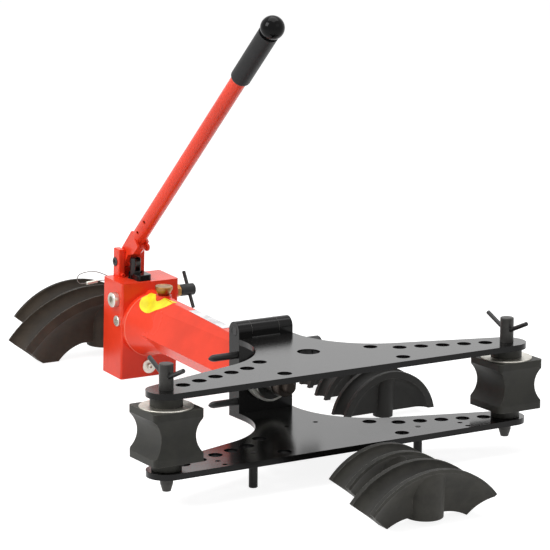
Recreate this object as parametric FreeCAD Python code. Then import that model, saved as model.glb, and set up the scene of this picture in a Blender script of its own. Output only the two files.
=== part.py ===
"""Hydraulic pipe bender with open wings, a hand pump and seven loose bending formers.

Millimetres. X runs across the wings, Y from the wings towards the pump, Z up from
the floor. The origin is on the floor under the middle of the whole set. The wings,
their block and their pins are drawn square in the wing frame, whose z is 0 half-way
between the plates, and lean() then sets them down on their feet.
"""
import FreeCAD, Part
import math
import os
from collections import namedtuple
from FreeCAD import Vector

# Wing plates
PLATE = 9.0
GAP = 108.4
TIP_X = 299.0
TIP_Y = -75.7
TIP_RADIUS = 30.0
ROW_ANGLE = math.radians(17.11)
ROW_PITCH = 34.32
ROW_HOLES = 6
INNER_HOLE_X = 98.5
SECOND_ROW = (104.2, -79.9)
WAIST_RADIUS = 133.0
WING_HALF = 48.5
CENTRE_HOLE_DIA = 35.0
CENTRE_HOLE_Y = 20.0
BOLT_HOLE_DIA = 8.0
BOLT_HOLES = ((214.2, -75.5), (214.2, -96.2), (174.0, -31.4), (26.0, 39.7))
CORNER_SOFTENING = 0.6

# Pivot pins, their bent rods and the angle blocks
PIN_DIA = 21.0
PIN_HOLE_CLEARANCE = 0.3
PIN_TOP_RISE = 38.0
PIN_TAIL = 22.8
PIN_TAIL_DIA = 19.0
PIN_TIP_DIA = 12.2
ROD_DIA = 6.6
ROD_RISE = 15.8
ROD_REACH = 49.0
ROD_LIFT = 21.0
BLOCK_HALF = 40.6
BLOCK_HEIGHT = 76.6
BLOCK_CORNER = 7.0
CHANNEL_CHORD = 56.0
DEEP_CHANNEL = 12.5
SHALLOW_CHANNEL = 4.5
HUB_TOP_DIA = 47.5
HUB_BOTTOM_DIA = 44.0
FACE_GAP = 0.3
RING_DIA = 79.0
RING_THICK = 1.8

# Rear block, hinge and retaining pins
REAR_BLOCK_FRONT = 143.0
REAR_BLOCK_THICK = 30.0
EAR_WIDTH = 23.8
HINGE_RISE = 10.0
HINGE_PIN_DIA = 14.0
HINGE_CLEARANCE = 0.05
KNUCKLE_SIDE_GAP = 0.5
RETAINER_DIA = 11.0
RETAINER_CLEARANCE = 0.3
RETAINER_Y = 151.0
RETAINER_OFFSET = 0.8
RETAINER_TIP_X = -99.0
RETAINER_HEAD_X = 74.5
RETAINER_HEAD_LENGTH = 27.1
RETAINER_HEAD_DIA = 28.0

# Feet
FOOT_X = 146.0
FOOT_Y = -61.6
FOOT_DIA = 13.5
FOOT_LENGTH = 43.6
FOOT_CHAMFER = 0.8
FOOT_SCREW_DIA = 8.0
FOOT_SCREW_DEPTH = 16.0
SCREW_STAND = 0.6
THREAD_CLEARANCE = 0.05

# Cylinder, ram and gland
AXIS_HEIGHT = 96.65
PIVOT_Y = 158.0
SPIGOT_DIA = 72.0
SPIGOT_FRONT = 125.0
SEAT_CLEARANCE = 0.02
GROOVE_CLEARANCE = 0.3
CYLINDER_BORE = 51.0
BORE_FRONT = 184.0
BORE_REAR = 508.0
HOUSING_FRONT_OUTLINE = ((12.5, 46.5), (19.5, 39.5), (42.0, -9.0), (25.0, -32.0))
HOUSING_REAR_OUTLINE = ((4.5, 53.0), (24.5, 33.0), (42.0, -9.0), (25.0, -32.0))
BELL_START_Y = 395.0
BELL_START_RADIUS = 33.0
BELL_RADIUS = 53.3
BELL_RIM = 10.0
BELL_DROP = 5.0
SPIGOT_WALL = 9.0
GLAND_WALL = 7.0
GLAND_SETBACK = 5.0
GLAND_FLANGE = 5.0
GLAND_SLEEVE = 34.0
WIPER_THICK = 4.0
WIPER_WALL = 3.0
RUNNING = 0.05
PISTON_REAR = 480.0
PISTON_LENGTH = 40.0
PISTON_SEAL_WIDTH = 8.0
PISTON_SEAL_DEPTH = 5.0
NOSE_DIA = 34.0
NOSE_FRONT = 80.0
NOSE_LENGTH = 16.0
NOSE_WALL = 4.0
PEG_DIA = 18.0
PEG_LENGTH = 12.0

# Oil space over the bore
OIL_SPACE_FRONT = 215.0
OIL_SPACE_REAR = 500.0
OIL_SPACE_FLOOR = 32.0
OIL_SPACE_TOP = 40.0
OIL_SPACE_HALF = 12.0

# Pump block
PUMP_HALF = 53.3
PUMP_FRONT = 515.0
PUMP_REAR = 581.0
PUMP_HEIGHT = 163.5
PUMP_CHAMFER = 2.5

# Plugs, check balls, washer and its screw
LARGE_PLUG_DIA = 25.0
LARGE_PLUG_Y = 536.3
LARGE_PLUG_Z = 133.5
LARGE_PLUG_HEAD = 9.5
SMALL_PLUG_DIA = 18.0
SMALL_PLUG_Y = 529.0
SMALL_PLUG_Z = 98.5
SMALL_PLUG_HEAD = 4.0
LARGE_PLUG_SOCKET = 12.0
SMALL_PLUG_SOCKET = 8.0
PLUG_SOCKET_DEPTH = 4.0
PLUG_THREAD_RATIO = 0.66
PLUG_DEPTH = 16.0
CHAMBER_DEPTH = 24.0
CHECK_BALL_RATIO = 0.4
PORT_DIA = 4.0
PORT_Z = 107.0
WASHER_DIA = 25.0
WASHER_THICK = 2.5
WASHER_Z = 18.0
WASHER_SCREW_DIA = 10.0
WASHER_SCREW_HEAD = 4.0
WASHER_SCREW_SOCKET = 5.0
WASHER_SCREW_SHANK = 8.0
WASHER_SCREW_DEPTH = 14.0

# Filler
FILLER_Y = 470.0
NECK_DIA = 26.0
NECK_TOP = 151.0
NECK_BORE = 14.0
CAP_DIA = 29.0
CAP_HEIGHT = 16.0
CAP_STEM_DIA = 13.9
CAP_STEM = 10.0
CAP_LIFT = 0.3

# Release valve
VALVE_Y = 533.0
VALVE_Z = 137.0
VALVE_BOSS_DIA = 24.0
VALVE_BOSS_END = 57.0
VALVE_NUT_END = 64.5
VALVE_NUT_ACROSS = 19.0
VALVE_KNOB_END = 92.6
VALVE_KNOB_DIA = 20.0
VALVE_STEM_DIA = 9.0
VALVE_STEM_START = 26.0
VALVE_BAR_X = 83.2
VALVE_BAR_DIA = 6.0
VALVE_BAR_LENGTH = 66.0
VALVE_BAR_TILT = 33.0

# Plunger and its gland
LEVER_X = -11.0
PLUNGER_Y = 548.5
PLUNGER_DIA = 18.0
PLUNGER_TOP_OVER_PIN = 9.6
PLUNGER_BOTTOM = 122.0
PLUNGER_WELL_BOTTOM = 104.0
PLUNGER_SLOT_DEPTH = 12.0
PLUNGER_PIN_DIA = 6.0
PUMP_GLAND_LEFT = -20.0
PUMP_GLAND_RIGHT = 6.0
PUMP_GLAND_FRONT = 521.0
PUMP_GLAND_REAR = 560.4
PUMP_GLAND_HEIGHT = 10.0
PUMP_GLAND_CORNER = 6.0
PUMP_GLAND_RECESS_DIA = 23.0
PUMP_GLAND_RECESS = 4.0
PLUNGER_SEAL_THICK = 4.0
PLUNGER_SEAL_WALL = 3.5

# Fulcrum
EAR_GAP = 25.2
FULCRUM_EAR_THICK = 12.0
FULCRUM_EAR_DEPTH = 20.0
FULCRUM_EAR_HEIGHT = 47.5
FULCRUM_SETBACK = 7.5
FULCRUM_RISE = 24.8
FULCRUM_PIN_DIA = 12.0
FULCRUM_PIN_HEAD_DIA = 15.0
FULCRUM_PIN_HEAD = 1.5
FULCRUM_WEB_THICK = 6.5
FULCRUM_WEB_GAP = 0.8
FULCRUM_SCREW_DIA = 6.4
FULCRUM_SCREW_HEAD = 5.0
FULCRUM_SCREW_RISE = 4.2
FULCRUM_SCREW_X = -29.0

# Lever
LEVER_ELEVATION = 45.36
LEVER_OFFSET = 7.6
HOLDER_SIDE_GAP = 0.3
HOLDER_HUB_RADIUS = 11.0
HOLDER_END = 62.5
HOLDER_LEDGE = 55.0
HOLDER_CHEEK = 4.2
HOLDER_BACK = 18.5
HOLDER_BELLY = -13.8
HOLDER_RIGHT_BELLY = -5.0
STUB_DIA = 20.0
STUB_DEPTH = 24.0
TUBE_DIA = 26.0
TUBE_BORE = 20.0
TUBE_END = 604.0
TUBE_HOLE_DIA = 6.0
TUBE_HOLES = (79.0, 110.0)
TUBE_HOLE_TURN = 15.6
GRIP_DIA = 32.5
GRIP_START = 501.0
GRIP_END = 616.0
GRIP_ROUND = 5.0
BALL_DIA = 37.5
BALL_CENTRE = 630.4
TONGUE_THICK = 8.6
TONGUE_SLOT_PLAY = 0.55
TONGUE_WALL = 2.7
CLAMP_SCREW_DIA = 6.0
CLAMP_SCREW_HEAD_DIA = 13.0
CLAMP_SCREW_HEAD = 5.0
CLAMP_SCREW_ALONG = 47.0
CLAMP_SCREW_OFFSET = -6.2

# Wire loop behind the pump: points of its route, and how far they lie behind the block
WIRE_DIA = 1.5
EYE_SCREW_X = -26.0
EYE_SCREW_Z = 151.0
EYE_SCREW_DIA = 12.0
EYE_SCREW_STAND = 15.0
FERRULE_DIA = 5.4
FERRULE_LENGTH = 20.0
WIRE_ROUTE = tuple((x, PUMP_REAR + behind, z) for x, behind, z in (
    (-29.0, 9.0, 154.0),
    (-44.5, 10.0, 162.5),
    (-62.0, 11.0, 170.0),
    (-79.0, 11.0, 171.1),
    (-94.7, 11.0, 168.3),
    (-98.5, 10.5, 159.5),
    (-93.1, 10.0, 151.6),
    (-79.0, 9.5, 151.9),
    (-62.0, 9.0, 153.4),
    (-45.0, 9.0, 154.5),
    (-29.0, 9.0, 150.5),
))

# Bending formers, which stand on the floor with their grooves up.
# pipe: outside diameter of the pipe, radius: radius of the lands, half_angle: degrees
# each side of the top, width: across the lands, end: length of the end face, web: half
# thickness of the web, rim: straight depth of the rims, cove: depth where the hollow
# flanks meet the web, x: middle, near: nearest face, hub: radius of the hub, hub_drop
# and stand: heights of the hub's foot and of the ends, foot: half length to the end of
# the flat foot, slope: half length at the top of the arch, rise: height of the arch.
Former = namedtuple("Former", "name pipe radius half_angle width end web rim cove x near "
                              "hub hub_drop stand foot slope rise")
FORMERS = (
    Former("former_42", 42.4, 138.0, 50.9, 59.0, 49.2, 10.6, 5.0, 47.0, -4.3, -328.0,
           29.0, 7.0, 0.0, 68.0, 31.0, 11.0),
    Former("former_34", 33.7, 113.0, 51.5, 52.0, 46.0, 9.5, 5.0, 42.0, 15.0, -208.0,
           25.0, 6.0, 0.0, 51.0, 27.0, 9.0),
    Former("former_60", 60.3, 210.0, 51.6, 66.0, 56.0, 12.0, 16.0, 56.0, -4.0, 640.0,
           28.0, 18.0, 0.0, 91.0, 45.0, 27.0),
    Former("former_48", 48.3, 152.0, 50.6, 60.0, 55.0, 11.0, 12.0, 52.0, 27.0, 785.0,
           28.0, 11.0, 0.0, 60.0, 38.0, 17.0),
    Former("former_27", 26.9, 88.0, 77.7, 40.0, 0.0, 5.5, 11.0, 27.0, 230.0, 134.0,
           16.0, 0.0, 7.6, 75.0, 30.0, 0.0),
    Former("former_21", 21.3, 70.0, 77.7, 35.0, 0.0, 5.0, 9.0, 23.0, 246.0, 243.0,
           14.0, 0.0, 7.0, 60.0, 30.0, 0.0),
    Former("former_17", 17.2, 58.5, 77.7, 31.0, 0.0, 4.5, 8.0, 20.0, 250.0, 318.0,
           13.0, 0.0, 6.0, 50.0, 30.0, 0.0),
)
ARCH_FULLNESS = 0.7
GROOVE_PLAY = 0.4
SOCKET_PLAY = 0.3
SOCKET_EXTRA = 2.0

# Sizes that follow from the ones above
HALF_GAP = GAP / 2
PLATE_OUT = HALF_GAP + PLATE
PIN_HOLE_RADIUS = PIN_DIA / 2 + PIN_HOLE_CLEARANCE
REAR_BLOCK_REAR = REAR_BLOCK_FRONT + REAR_BLOCK_THICK
HINGE_RADIUS = REAR_BLOCK_THICK / 2
HINGE_Y = REAR_BLOCK_FRONT + HINGE_RADIUS
HINGE_Z = PLATE_OUT + HINGE_RISE
EAR_INNER = WING_HALF - EAR_WIDTH
FOOT_BOTTOM = -(PLATE_OUT + FOOT_LENGTH)
FOOT_REST_Y = FOOT_Y + FOOT_DIA / 2 - FOOT_CHAMFER
FULCRUM_Y = PUMP_REAR - FULCRUM_SETBACK
FULCRUM_Z = PUMP_HEIGHT + FULCRUM_RISE
PLUNGER_ARM = FULCRUM_Y - PLUNGER_Y
SET_FRONT = min(f.near for f in FORMERS)
SET_REAR = max(f.near + f.width for f in FORMERS)
CENTRING = -(SET_FRONT + SET_REAR) / 2


def lean_angle():
    """Angle by which the wing frame leans nose up when its feet touch the floor."""
    back = PIVOT_Y - FOOT_REST_Y
    down = -FOOT_BOTTOM
    return math.atan2(down, back) - math.asin(AXIS_HEIGHT / math.hypot(back, down))


LEAN = lean_angle()
GLAND_DIA = SPIGOT_DIA - 2 * GLAND_SETBACK
GLAND_SLEEVE_DIA = SPIGOT_DIA - 2 * SPIGOT_WALL
ROD_SEAL_DIA = GLAND_SLEEVE_DIA - 2 * GLAND_WALL
RAM_NECK_DIA = NOSE_DIA - 2 * NOSE_WALL
RETAINER_Z = SPIGOT_DIA / 2 + RETAINER_OFFSET
SEAT_BORE_RADIUS = SPIGOT_DIA / 2 + SEAT_CLEARANCE + REAR_BLOCK_THICK / 2 * abs(math.sin(LEAN))
GROOVE_RADIUS = (RETAINER_Z * math.cos(LEAN) - RETAINER_DIA / 2 - GROOVE_CLEARANCE
                 - abs((HINGE_Y - RETAINER_Y) * math.sin(LEAN)))
GROOVE_HALF = RETAINER_DIA / 2 + RETAINER_Z * abs(math.sin(LEAN)) + GROOVE_CLEARANCE
HOUSING_FRONT = (PIVOT_Y + (REAR_BLOCK_REAR - PIVOT_Y) * math.cos(LEAN)
                 + HOUSING_FRONT_OUTLINE[0][1] * abs(math.sin(LEAN)) + 1.2)
X_AXIS = Vector(1, 0, 0)
Y_AXIS = Vector(0, 1, 0)
Z_AXIS = Vector(0, 0, 1)


# Helpers
def box(x_range, y_range, z_range):
    """Box between three pairs of limits."""
    sizes = [high - low for low, high in (x_range, y_range, z_range)]
    return Part.makeBox(*sizes, Vector(x_range[0], y_range[0], z_range[0]))


def rod(diameter, start, end):
    """Round bar from one point to another."""
    start, end = Vector(*start), Vector(*end)
    return Part.makeCylinder(diameter / 2, (end - start).Length, start, end - start)


def cone(radius_1, radius_2, start, end):
    """Cone from one point to another."""
    start, end = Vector(*start), Vector(*end)
    return Part.makeCone(radius_1, radius_2, (end - start).Length, start, end - start)


def polygon_face(points):
    """Flat face inside straight edges through the points."""
    corners = [Vector(*p) for p in points]
    return Part.Face(Part.makePolygon(corners + corners[:1]))


def edges_face(edges):
    """Flat face inside a loop of edges."""
    return Part.Face(Part.Wire(Part.__sortEdges__(edges)))


def line(start, end):
    """Straight edge."""
    return Part.LineSegment(Vector(*start), Vector(*end)).toShape()


def arc(start, middle, end):
    """Arc edge through three points."""
    return Part.Arc(Vector(*start), Vector(*middle), Vector(*end)).toShape()


def cut(shape, *tools):
    """Shape without the tools."""
    for tool in tools:
        shape = shape.cut(tool)
    return shape


def join(first, *others):
    """One solid from overlapping or touching solids."""
    for other in others:
        first = first.fuse(other)
    return first.removeSplitter()


def turned(shape, base, axis, degrees):
    """Copy of a shape turned about a line."""
    result = shape.copy()
    result.rotate(Vector(*base), axis, degrees)
    return result


def moved(shape, x=0.0, y=0.0, z=0.0):
    """Copy of a shape moved along."""
    result = shape.copy()
    result.translate(Vector(x, y, z))
    return result


def mirrored(shape):
    """Copy of a shape on the other side of the middle plane."""
    return shape.mirror(Vector(0, 0, 0), X_AXIS)


def lean(shape):
    """Set a shape of the wing frame down on its feet."""
    leaned = turned(shape, (0, PIVOT_Y, 0), X_AXIS, -math.degrees(LEAN))
    return moved(leaned, z=AXIS_HEIGHT)


def upright_edges(shape, axis):
    """Straight edges of a shape that run along an axis."""
    found = []
    for edge in shape.Edges:
        if isinstance(edge.Curve, Part.Line) and edge.Curve.Direction.cross(axis).Length < 1e-6:
            found.append(edge)
    return found


# Wings
def row_point(steps):
    """Hole centre, a number of pitches in from the tip hole."""
    along = steps * ROW_PITCH
    return TIP_X - along * math.cos(ROW_ANGLE), TIP_Y + along * math.sin(ROW_ANGLE)


def row_holes():
    """Centres of the pin holes of the right arm, from the tip inwards."""
    return [row_point(step) for step in range(ROW_HOLES)] + [(INNER_HOLE_X, 0.0)]


def wing_face(z):
    """Outline of a wing plate: tip arcs, straight arms and a round waist each side."""
    normal = (math.sin(ROW_ANGLE), math.cos(ROW_ANGLE))
    tip_front = (TIP_X, TIP_Y - TIP_RADIUS)
    tip_side = (TIP_X + TIP_RADIUS, TIP_Y)
    tip_back = (TIP_X + TIP_RADIUS * normal[0], TIP_Y + TIP_RADIUS * normal[1])
    offset = normal[0] * tip_back[0] + normal[1] * tip_back[1]
    waist_x = WING_HALF + WAIST_RADIUS
    waist_y = (offset + WAIST_RADIUS - normal[0] * waist_x) / normal[1]
    arm_end = (waist_x - WAIST_RADIUS * normal[0], waist_y - WAIST_RADIUS * normal[1])
    middle_angle = (math.pi + math.pi * 1.5 - ROW_ANGLE) / 2
    waist_middle = (waist_x + WAIST_RADIUS * math.cos(middle_angle),
                    waist_y + WAIST_RADIUS * math.sin(middle_angle))
    waist_end = (WING_HALF, waist_y)
    rear = (WING_HALF, REAR_BLOCK_REAR)
    edges = []
    for side in (1, -1):
        at = lambda p: (side * p[0], p[1], z)
        edges += [line((0, tip_front[1], z), at(tip_front)),
                  arc(at(tip_front), at(tip_side), at(tip_back)),
                  line(at(tip_back), at(arm_end)),
                  arc(at(arm_end), at(waist_middle), at(waist_end)),
                  line(at(waist_end), at(rear)),
                  line(at(rear), (0, rear[1], z))]
    return edges_face(edges)


def wing_plate(z_low):
    """Plate with the pin holes of both arms."""
    plate = wing_face(z_low).extrude(Vector(0, 0, PLATE))
    centres = row_holes() + [SECOND_ROW]
    for side in (1, -1):
        for x, y in centres:
            plate = plate.cut(rod(2 * PIN_HOLE_RADIUS, (side * x, y, z_low - 1),
                                  (side * x, y, z_low + PLATE + 1)))
    return plate.removeSplitter()


def lower_wing():
    """Lower plate, with the small bolt holes and the holes of the foot screws."""
    plate = wing_plate(-PLATE_OUT)
    holes = [(x, y, BOLT_HOLE_DIA) for x, y in BOLT_HOLES]
    holes.append((FOOT_X, FOOT_Y, FOOT_SCREW_DIA + 2 * THREAD_CLEARANCE))
    for side in (1, -1):
        for x, y, diameter in holes:
            plate = plate.cut(rod(diameter, (side * x, y, -PLATE_OUT - 1),
                                  (side * x, y, -HALF_GAP + 1)))
    return plate


def upper_wing():
    """Upper plate, notched round the ears, with the large middle hole."""
    plate = wing_plate(HALF_GAP)
    notch_front = REAR_BLOCK_FRONT - KNUCKLE_SIDE_GAP
    for side in (1, -1):
        x_range = sorted((side * (EAR_INNER - KNUCKLE_SIDE_GAP), side * (WING_HALF + 1)))
        plate = plate.cut(box(x_range, (notch_front, REAR_BLOCK_REAR + 1),
                              (HALF_GAP - 1, PLATE_OUT + 1)))
    hole = rod(CENTRE_HOLE_DIA, (0, CENTRE_HOLE_Y, HALF_GAP - 1),
               (0, CENTRE_HOLE_Y, PLATE_OUT + 1))
    return plate.cut(hole)


def ear_outline(x, z_low):
    """Upright face with a round top on the hinge axis, at a given x."""
    return edges_face([line((x, REAR_BLOCK_FRONT, z_low), (x, REAR_BLOCK_REAR, z_low)),
                       line((x, REAR_BLOCK_REAR, z_low), (x, REAR_BLOCK_REAR, HINGE_Z)),
                       arc((x, REAR_BLOCK_REAR, HINGE_Z), (x, HINGE_Y, HINGE_Z + HINGE_RADIUS),
                           (x, REAR_BLOCK_FRONT, HINGE_Z)),
                       line((x, REAR_BLOCK_FRONT, HINGE_Z), (x, REAR_BLOCK_FRONT, z_low))])


def hinge_hole(clearance):
    """Bar along the hinge axis, as wide as the hinge pin and a clearance."""
    return rod(HINGE_PIN_DIA + 2 * clearance, (-WING_HALF - 1, HINGE_Y, HINGE_Z),
               (WING_HALF + 1, HINGE_Y, HINGE_Z))


def rear_block():
    """Block between the wings, with its ears, the cylinder seat and the pin holes."""
    block = ear_outline(-WING_HALF, -HALF_GAP).extrude(Vector(2 * WING_HALF, 0, 0))
    block = block.cut(box((-EAR_INNER, EAR_INNER), (REAR_BLOCK_FRONT - 1, REAR_BLOCK_REAR + 1),
                          (HALF_GAP, HINGE_Z + HINGE_RADIUS + 1)))
    block = block.cut(rod(2 * SEAT_BORE_RADIUS, (0, REAR_BLOCK_FRONT - 1, 0),
                          (0, REAR_BLOCK_REAR + 1, 0)))
    for z in (RETAINER_Z, -RETAINER_Z):
        block = block.cut(rod(RETAINER_DIA + 2 * RETAINER_CLEARANCE,
                              (-WING_HALF - 1, RETAINER_Y, z), (WING_HALF + 1, RETAINER_Y, z)))
    return block.cut(hinge_hole(HINGE_CLEARANCE))


def hinge_knuckle():
    """Middle knuckle, welded on the tongue of the upper wing."""
    reach = EAR_INNER - KNUCKLE_SIDE_GAP
    knuckle = ear_outline(-reach, PLATE_OUT).extrude(Vector(2 * reach, 0, 0))
    return knuckle.cut(hinge_hole(HINGE_CLEARANCE))


def hinge_pin():
    """Pin through the ears and the knuckle, chamfered at its ends."""
    pin = rod(HINGE_PIN_DIA, (-WING_HALF, HINGE_Y, HINGE_Z), (WING_HALF, HINGE_Y, HINGE_Z))
    return pin.makeChamfer(CORNER_SOFTENING, pin.Edges)


def feet():
    """Two round feet under the lower wing."""
    foot = rod(FOOT_DIA, (FOOT_X, FOOT_Y, FOOT_BOTTOM), (FOOT_X, FOOT_Y, -PLATE_OUT))
    bottom = [e for e in foot.Edges if e.BoundBox.ZMax < FOOT_BOTTOM + 0.1]
    foot = foot.makeChamfer(FOOT_CHAMFER, bottom)
    foot = foot.cut(rod(FOOT_SCREW_DIA + 2 * THREAD_CLEARANCE,
                        (FOOT_X, FOOT_Y, -PLATE_OUT - FOOT_SCREW_DEPTH),
                        (FOOT_X, FOOT_Y, -PLATE_OUT + 1)))
    return Part.makeCompound([foot, mirrored(foot)])


def foot_screws():
    """Headless screws that hold the feet, standing a little out of the plate."""
    screw = rod(FOOT_SCREW_DIA, (FOOT_X, FOOT_Y, -PLATE_OUT - FOOT_SCREW_DEPTH + 1),
                (FOOT_X, FOOT_Y, -HALF_GAP + SCREW_STAND))
    top = [e for e in screw.Edges if e.BoundBox.ZMin > -HALF_GAP]
    screw = screw.makeChamfer(CORNER_SOFTENING / 2, top)
    return Part.makeCompound([screw, mirrored(screw)])


# Pivot pins and angle blocks
def bent_rod(x):
    """Bar bent to a shallow V through the head of a pivot pin."""
    middle_z = PLATE_OUT + ROD_RISE
    arms = [rod(ROD_DIA, (x, TIP_Y, middle_z),
                (x, TIP_Y + side * ROD_REACH, middle_z + ROD_LIFT)) for side in (1, -1)]
    elbow = Part.makeSphere(ROD_DIA / 2, Vector(x, TIP_Y, middle_z))
    return join(arms[0], arms[1], elbow)


def rod_channel(x):
    """Room for the bent bar in the pin."""
    middle_z = PLATE_OUT + ROD_RISE
    width = ROD_DIA + 2 * THREAD_CLEARANCE
    arms = [rod(width, (x, TIP_Y, middle_z),
                (x, TIP_Y + side * ROD_REACH, middle_z + ROD_LIFT)) for side in (1, -1)]
    return join(arms[0], arms[1], Part.makeSphere(width / 2, Vector(x, TIP_Y, middle_z)))


def pivot_pin(x):
    """Loose pin with a stepped and tapered tail."""
    top = PLATE_OUT + PIN_TOP_RISE
    shoulder = -PLATE_OUT
    tail_end = shoulder - PIN_TAIL / 2
    profile = [(0, top), (PIN_DIA / 2 - 1, top), (PIN_DIA / 2, top - 1), (PIN_DIA / 2, shoulder),
               (PIN_TAIL_DIA / 2, shoulder - 1), (PIN_TAIL_DIA / 2, tail_end),
               (PIN_TIP_DIA / 2, shoulder - PIN_TAIL), (0, shoulder - PIN_TAIL)]
    face = polygon_face([(x + r, TIP_Y, z) for r, z in profile])
    pin = face.revolve(Vector(x, TIP_Y, 0), Z_AXIS, 360)
    return pin.cut(rod_channel(x))


def channel(half_depth, depth, along):
    """Round channel across one face of an angle block, as a bar to cut away."""
    radius = (CHANNEL_CHORD ** 2 / 4 + depth ** 2) / (2 * depth)
    distance = half_depth + radius - depth
    if along == "y":
        return rod(2 * radius, (distance, -BLOCK_HALF - 1, 0), (distance, BLOCK_HALF + 1, 0))
    return rod(2 * radius, (-BLOCK_HALF - 1, distance, 0), (BLOCK_HALF + 1, distance, 0))


def angle_block(x):
    """Square support block with a pipe channel on each face and a hub at each end."""
    half_height = BLOCK_HEIGHT / 2
    block = box((-BLOCK_HALF, BLOCK_HALF), (-BLOCK_HALF, BLOCK_HALF),
                (-half_height, half_height))
    block = block.makeFillet(BLOCK_CORNER, upright_edges(block, Z_AXIS))
    for side in (0, 180):
        block = cut(block,
                    turned(channel(BLOCK_HALF, DEEP_CHANNEL, "y"), (0, 0, 0), Z_AXIS, side),
                    turned(channel(BLOCK_HALF, SHALLOW_CHANNEL, "x"), (0, 0, 0), Z_AXIS, side))
    hub_end = HALF_GAP - FACE_GAP
    block = join(block, rod(HUB_TOP_DIA, (0, 0, half_height - 1), (0, 0, hub_end)),
                 rod(HUB_BOTTOM_DIA, (0, 0, -hub_end), (0, 0, 1 - half_height)))
    block = block.cut(rod(2 * PIN_HOLE_RADIUS, (0, 0, -HALF_GAP), (0, 0, HALF_GAP)))
    return moved(block, x, TIP_Y)


def block_ring(x):
    """Plated washer round the upper hub of an angle block."""
    low = BLOCK_HEIGHT / 2
    ring = rod(RING_DIA, (x, TIP_Y, low), (x, TIP_Y, low + RING_THICK))
    rims = [e for e in ring.Edges if e.BoundBox.ZMin > low + RING_THICK / 2]
    ring = ring.makeChamfer(CORNER_SOFTENING, rims)
    return ring.cut(rod(HUB_TOP_DIA + 2 * THREAD_CLEARANCE, (x, TIP_Y, low - 1),
                        (x, TIP_Y, low + RING_THICK + 1)))


def retaining_pin(z, right_end):
    """Loose pin with a round nose, and the given outline at its right end."""
    radius = RETAINER_DIA / 2
    nose = RETAINER_TIP_X + 2 * radius
    sweep = (4 * radius ** 2 + radius ** 2) / (2 * radius)
    half_turn = math.asin(2 * radius / sweep) / 2
    mid = (nose - sweep * math.sin(half_turn), radius - sweep * (1 - math.cos(half_turn)))
    at = lambda x, r: (x, RETAINER_Y, z + r)
    outline = [(nose, radius)] + right_end + [(RETAINER_TIP_X, 0)]
    edges = [line(at(*a), at(*b)) for a, b in zip(outline, outline[1:])]
    edges.append(arc(at(RETAINER_TIP_X, 0), at(*mid), at(nose, radius)))
    return edges_face(edges).revolve(Vector(0, RETAINER_Y, z), X_AXIS, 360)


def headed_end():
    """Outline of the thick head that stands out beyond the block."""
    radius = RETAINER_DIA / 2
    head = RETAINER_HEAD_DIA / 2
    head_end = RETAINER_HEAD_X + RETAINER_HEAD_LENGTH
    return [(RETAINER_HEAD_X, radius), (RETAINER_HEAD_X, head - 1), (RETAINER_HEAD_X + 1, head),
            (head_end - 1, head), (head_end, head - 1), (head_end, 0)]


def plain_end():
    """Outline of a chamfered end, flush with the block."""
    radius = RETAINER_DIA / 2
    return [(WING_HALF - 1, radius), (WING_HALF, radius - 1), (WING_HALF, 0)]


# Cylinder and ram
def housing_wire(outline, y):
    """Closed outline of the housing, mirrored from its right half, at a given y."""
    right = [Vector(x, y, AXIS_HEIGHT + z) for x, z in outline]
    left = [Vector(-p.x, p.y, p.z) for p in reversed(right)]
    corners = right + left
    return Part.makePolygon(corners + corners[:1])


def housing_body():
    """Outside of the casting: faceted body with a round bell at the pump."""
    body = Part.makeLoft([housing_wire(HOUSING_FRONT_OUTLINE, HOUSING_FRONT),
                          housing_wire(HOUSING_REAR_OUTLINE, PUMP_FRONT)], True, True)
    bell_z = AXIS_HEIGHT - BELL_DROP
    rim = PUMP_FRONT - BELL_RIM
    profile = edges_face([line((0, BELL_START_Y, bell_z), (BELL_START_RADIUS, BELL_START_Y, bell_z)),
                          arc((BELL_START_RADIUS, BELL_START_Y, bell_z),
                              ((BELL_START_RADIUS + BELL_RADIUS) / 2 - 4,
                               (BELL_START_Y + rim) / 2 + 6, bell_z),
                              (BELL_RADIUS, rim, bell_z)),
                          line((BELL_RADIUS, rim, bell_z), (BELL_RADIUS, PUMP_FRONT, bell_z)),
                          line((BELL_RADIUS, PUMP_FRONT, bell_z), (0, PUMP_FRONT, bell_z)),
                          line((0, PUMP_FRONT, bell_z), (0, BELL_START_Y, bell_z))])
    return join(body, profile.revolve(Vector(0, 0, bell_z), Y_AXIS, 360))


def cylinder_housing():
    """Cast housing with its spigot, the groove of the retaining pins, bore and oil space."""
    at = lambda y: (0, y, AXIS_HEIGHT)
    spigot = rod(SPIGOT_DIA, at(SPIGOT_FRONT), at(HOUSING_FRONT + 1))
    housing = join(housing_body(), spigot)
    groove = cut(rod(SPIGOT_DIA + 2, at(RETAINER_Y - GROOVE_HALF), at(RETAINER_Y + GROOVE_HALF)),
                 rod(2 * GROOVE_RADIUS, at(SPIGOT_FRONT), at(HOUSING_FRONT)))
    gland_seat = rod(GLAND_SLEEVE_DIA + 2 * THREAD_CLEARANCE, at(SPIGOT_FRONT - 1),
                     at(SPIGOT_FRONT + GLAND_SLEEVE + 1))
    rod_way = rod(ROD_SEAL_DIA + 6, at(SPIGOT_FRONT), at(BORE_FRONT + 1))
    bore = rod(CYLINDER_BORE, at(BORE_FRONT), at(BORE_REAR))
    oil = box((-OIL_SPACE_HALF, OIL_SPACE_HALF), (OIL_SPACE_FRONT, OIL_SPACE_REAR),
              (AXIS_HEIGHT + OIL_SPACE_FLOOR, AXIS_HEIGHT + OIL_SPACE_TOP))
    oil = oil.makeFillet(3, oil.Edges)
    filler_way = rod(NECK_BORE, (0, FILLER_Y, AXIS_HEIGHT + OIL_SPACE_FLOOR + 2),
                     (0, FILLER_Y, NECK_TOP))
    return cut(housing, groove, gland_seat, rod_way, bore, oil, filler_way, oil_way())


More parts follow.
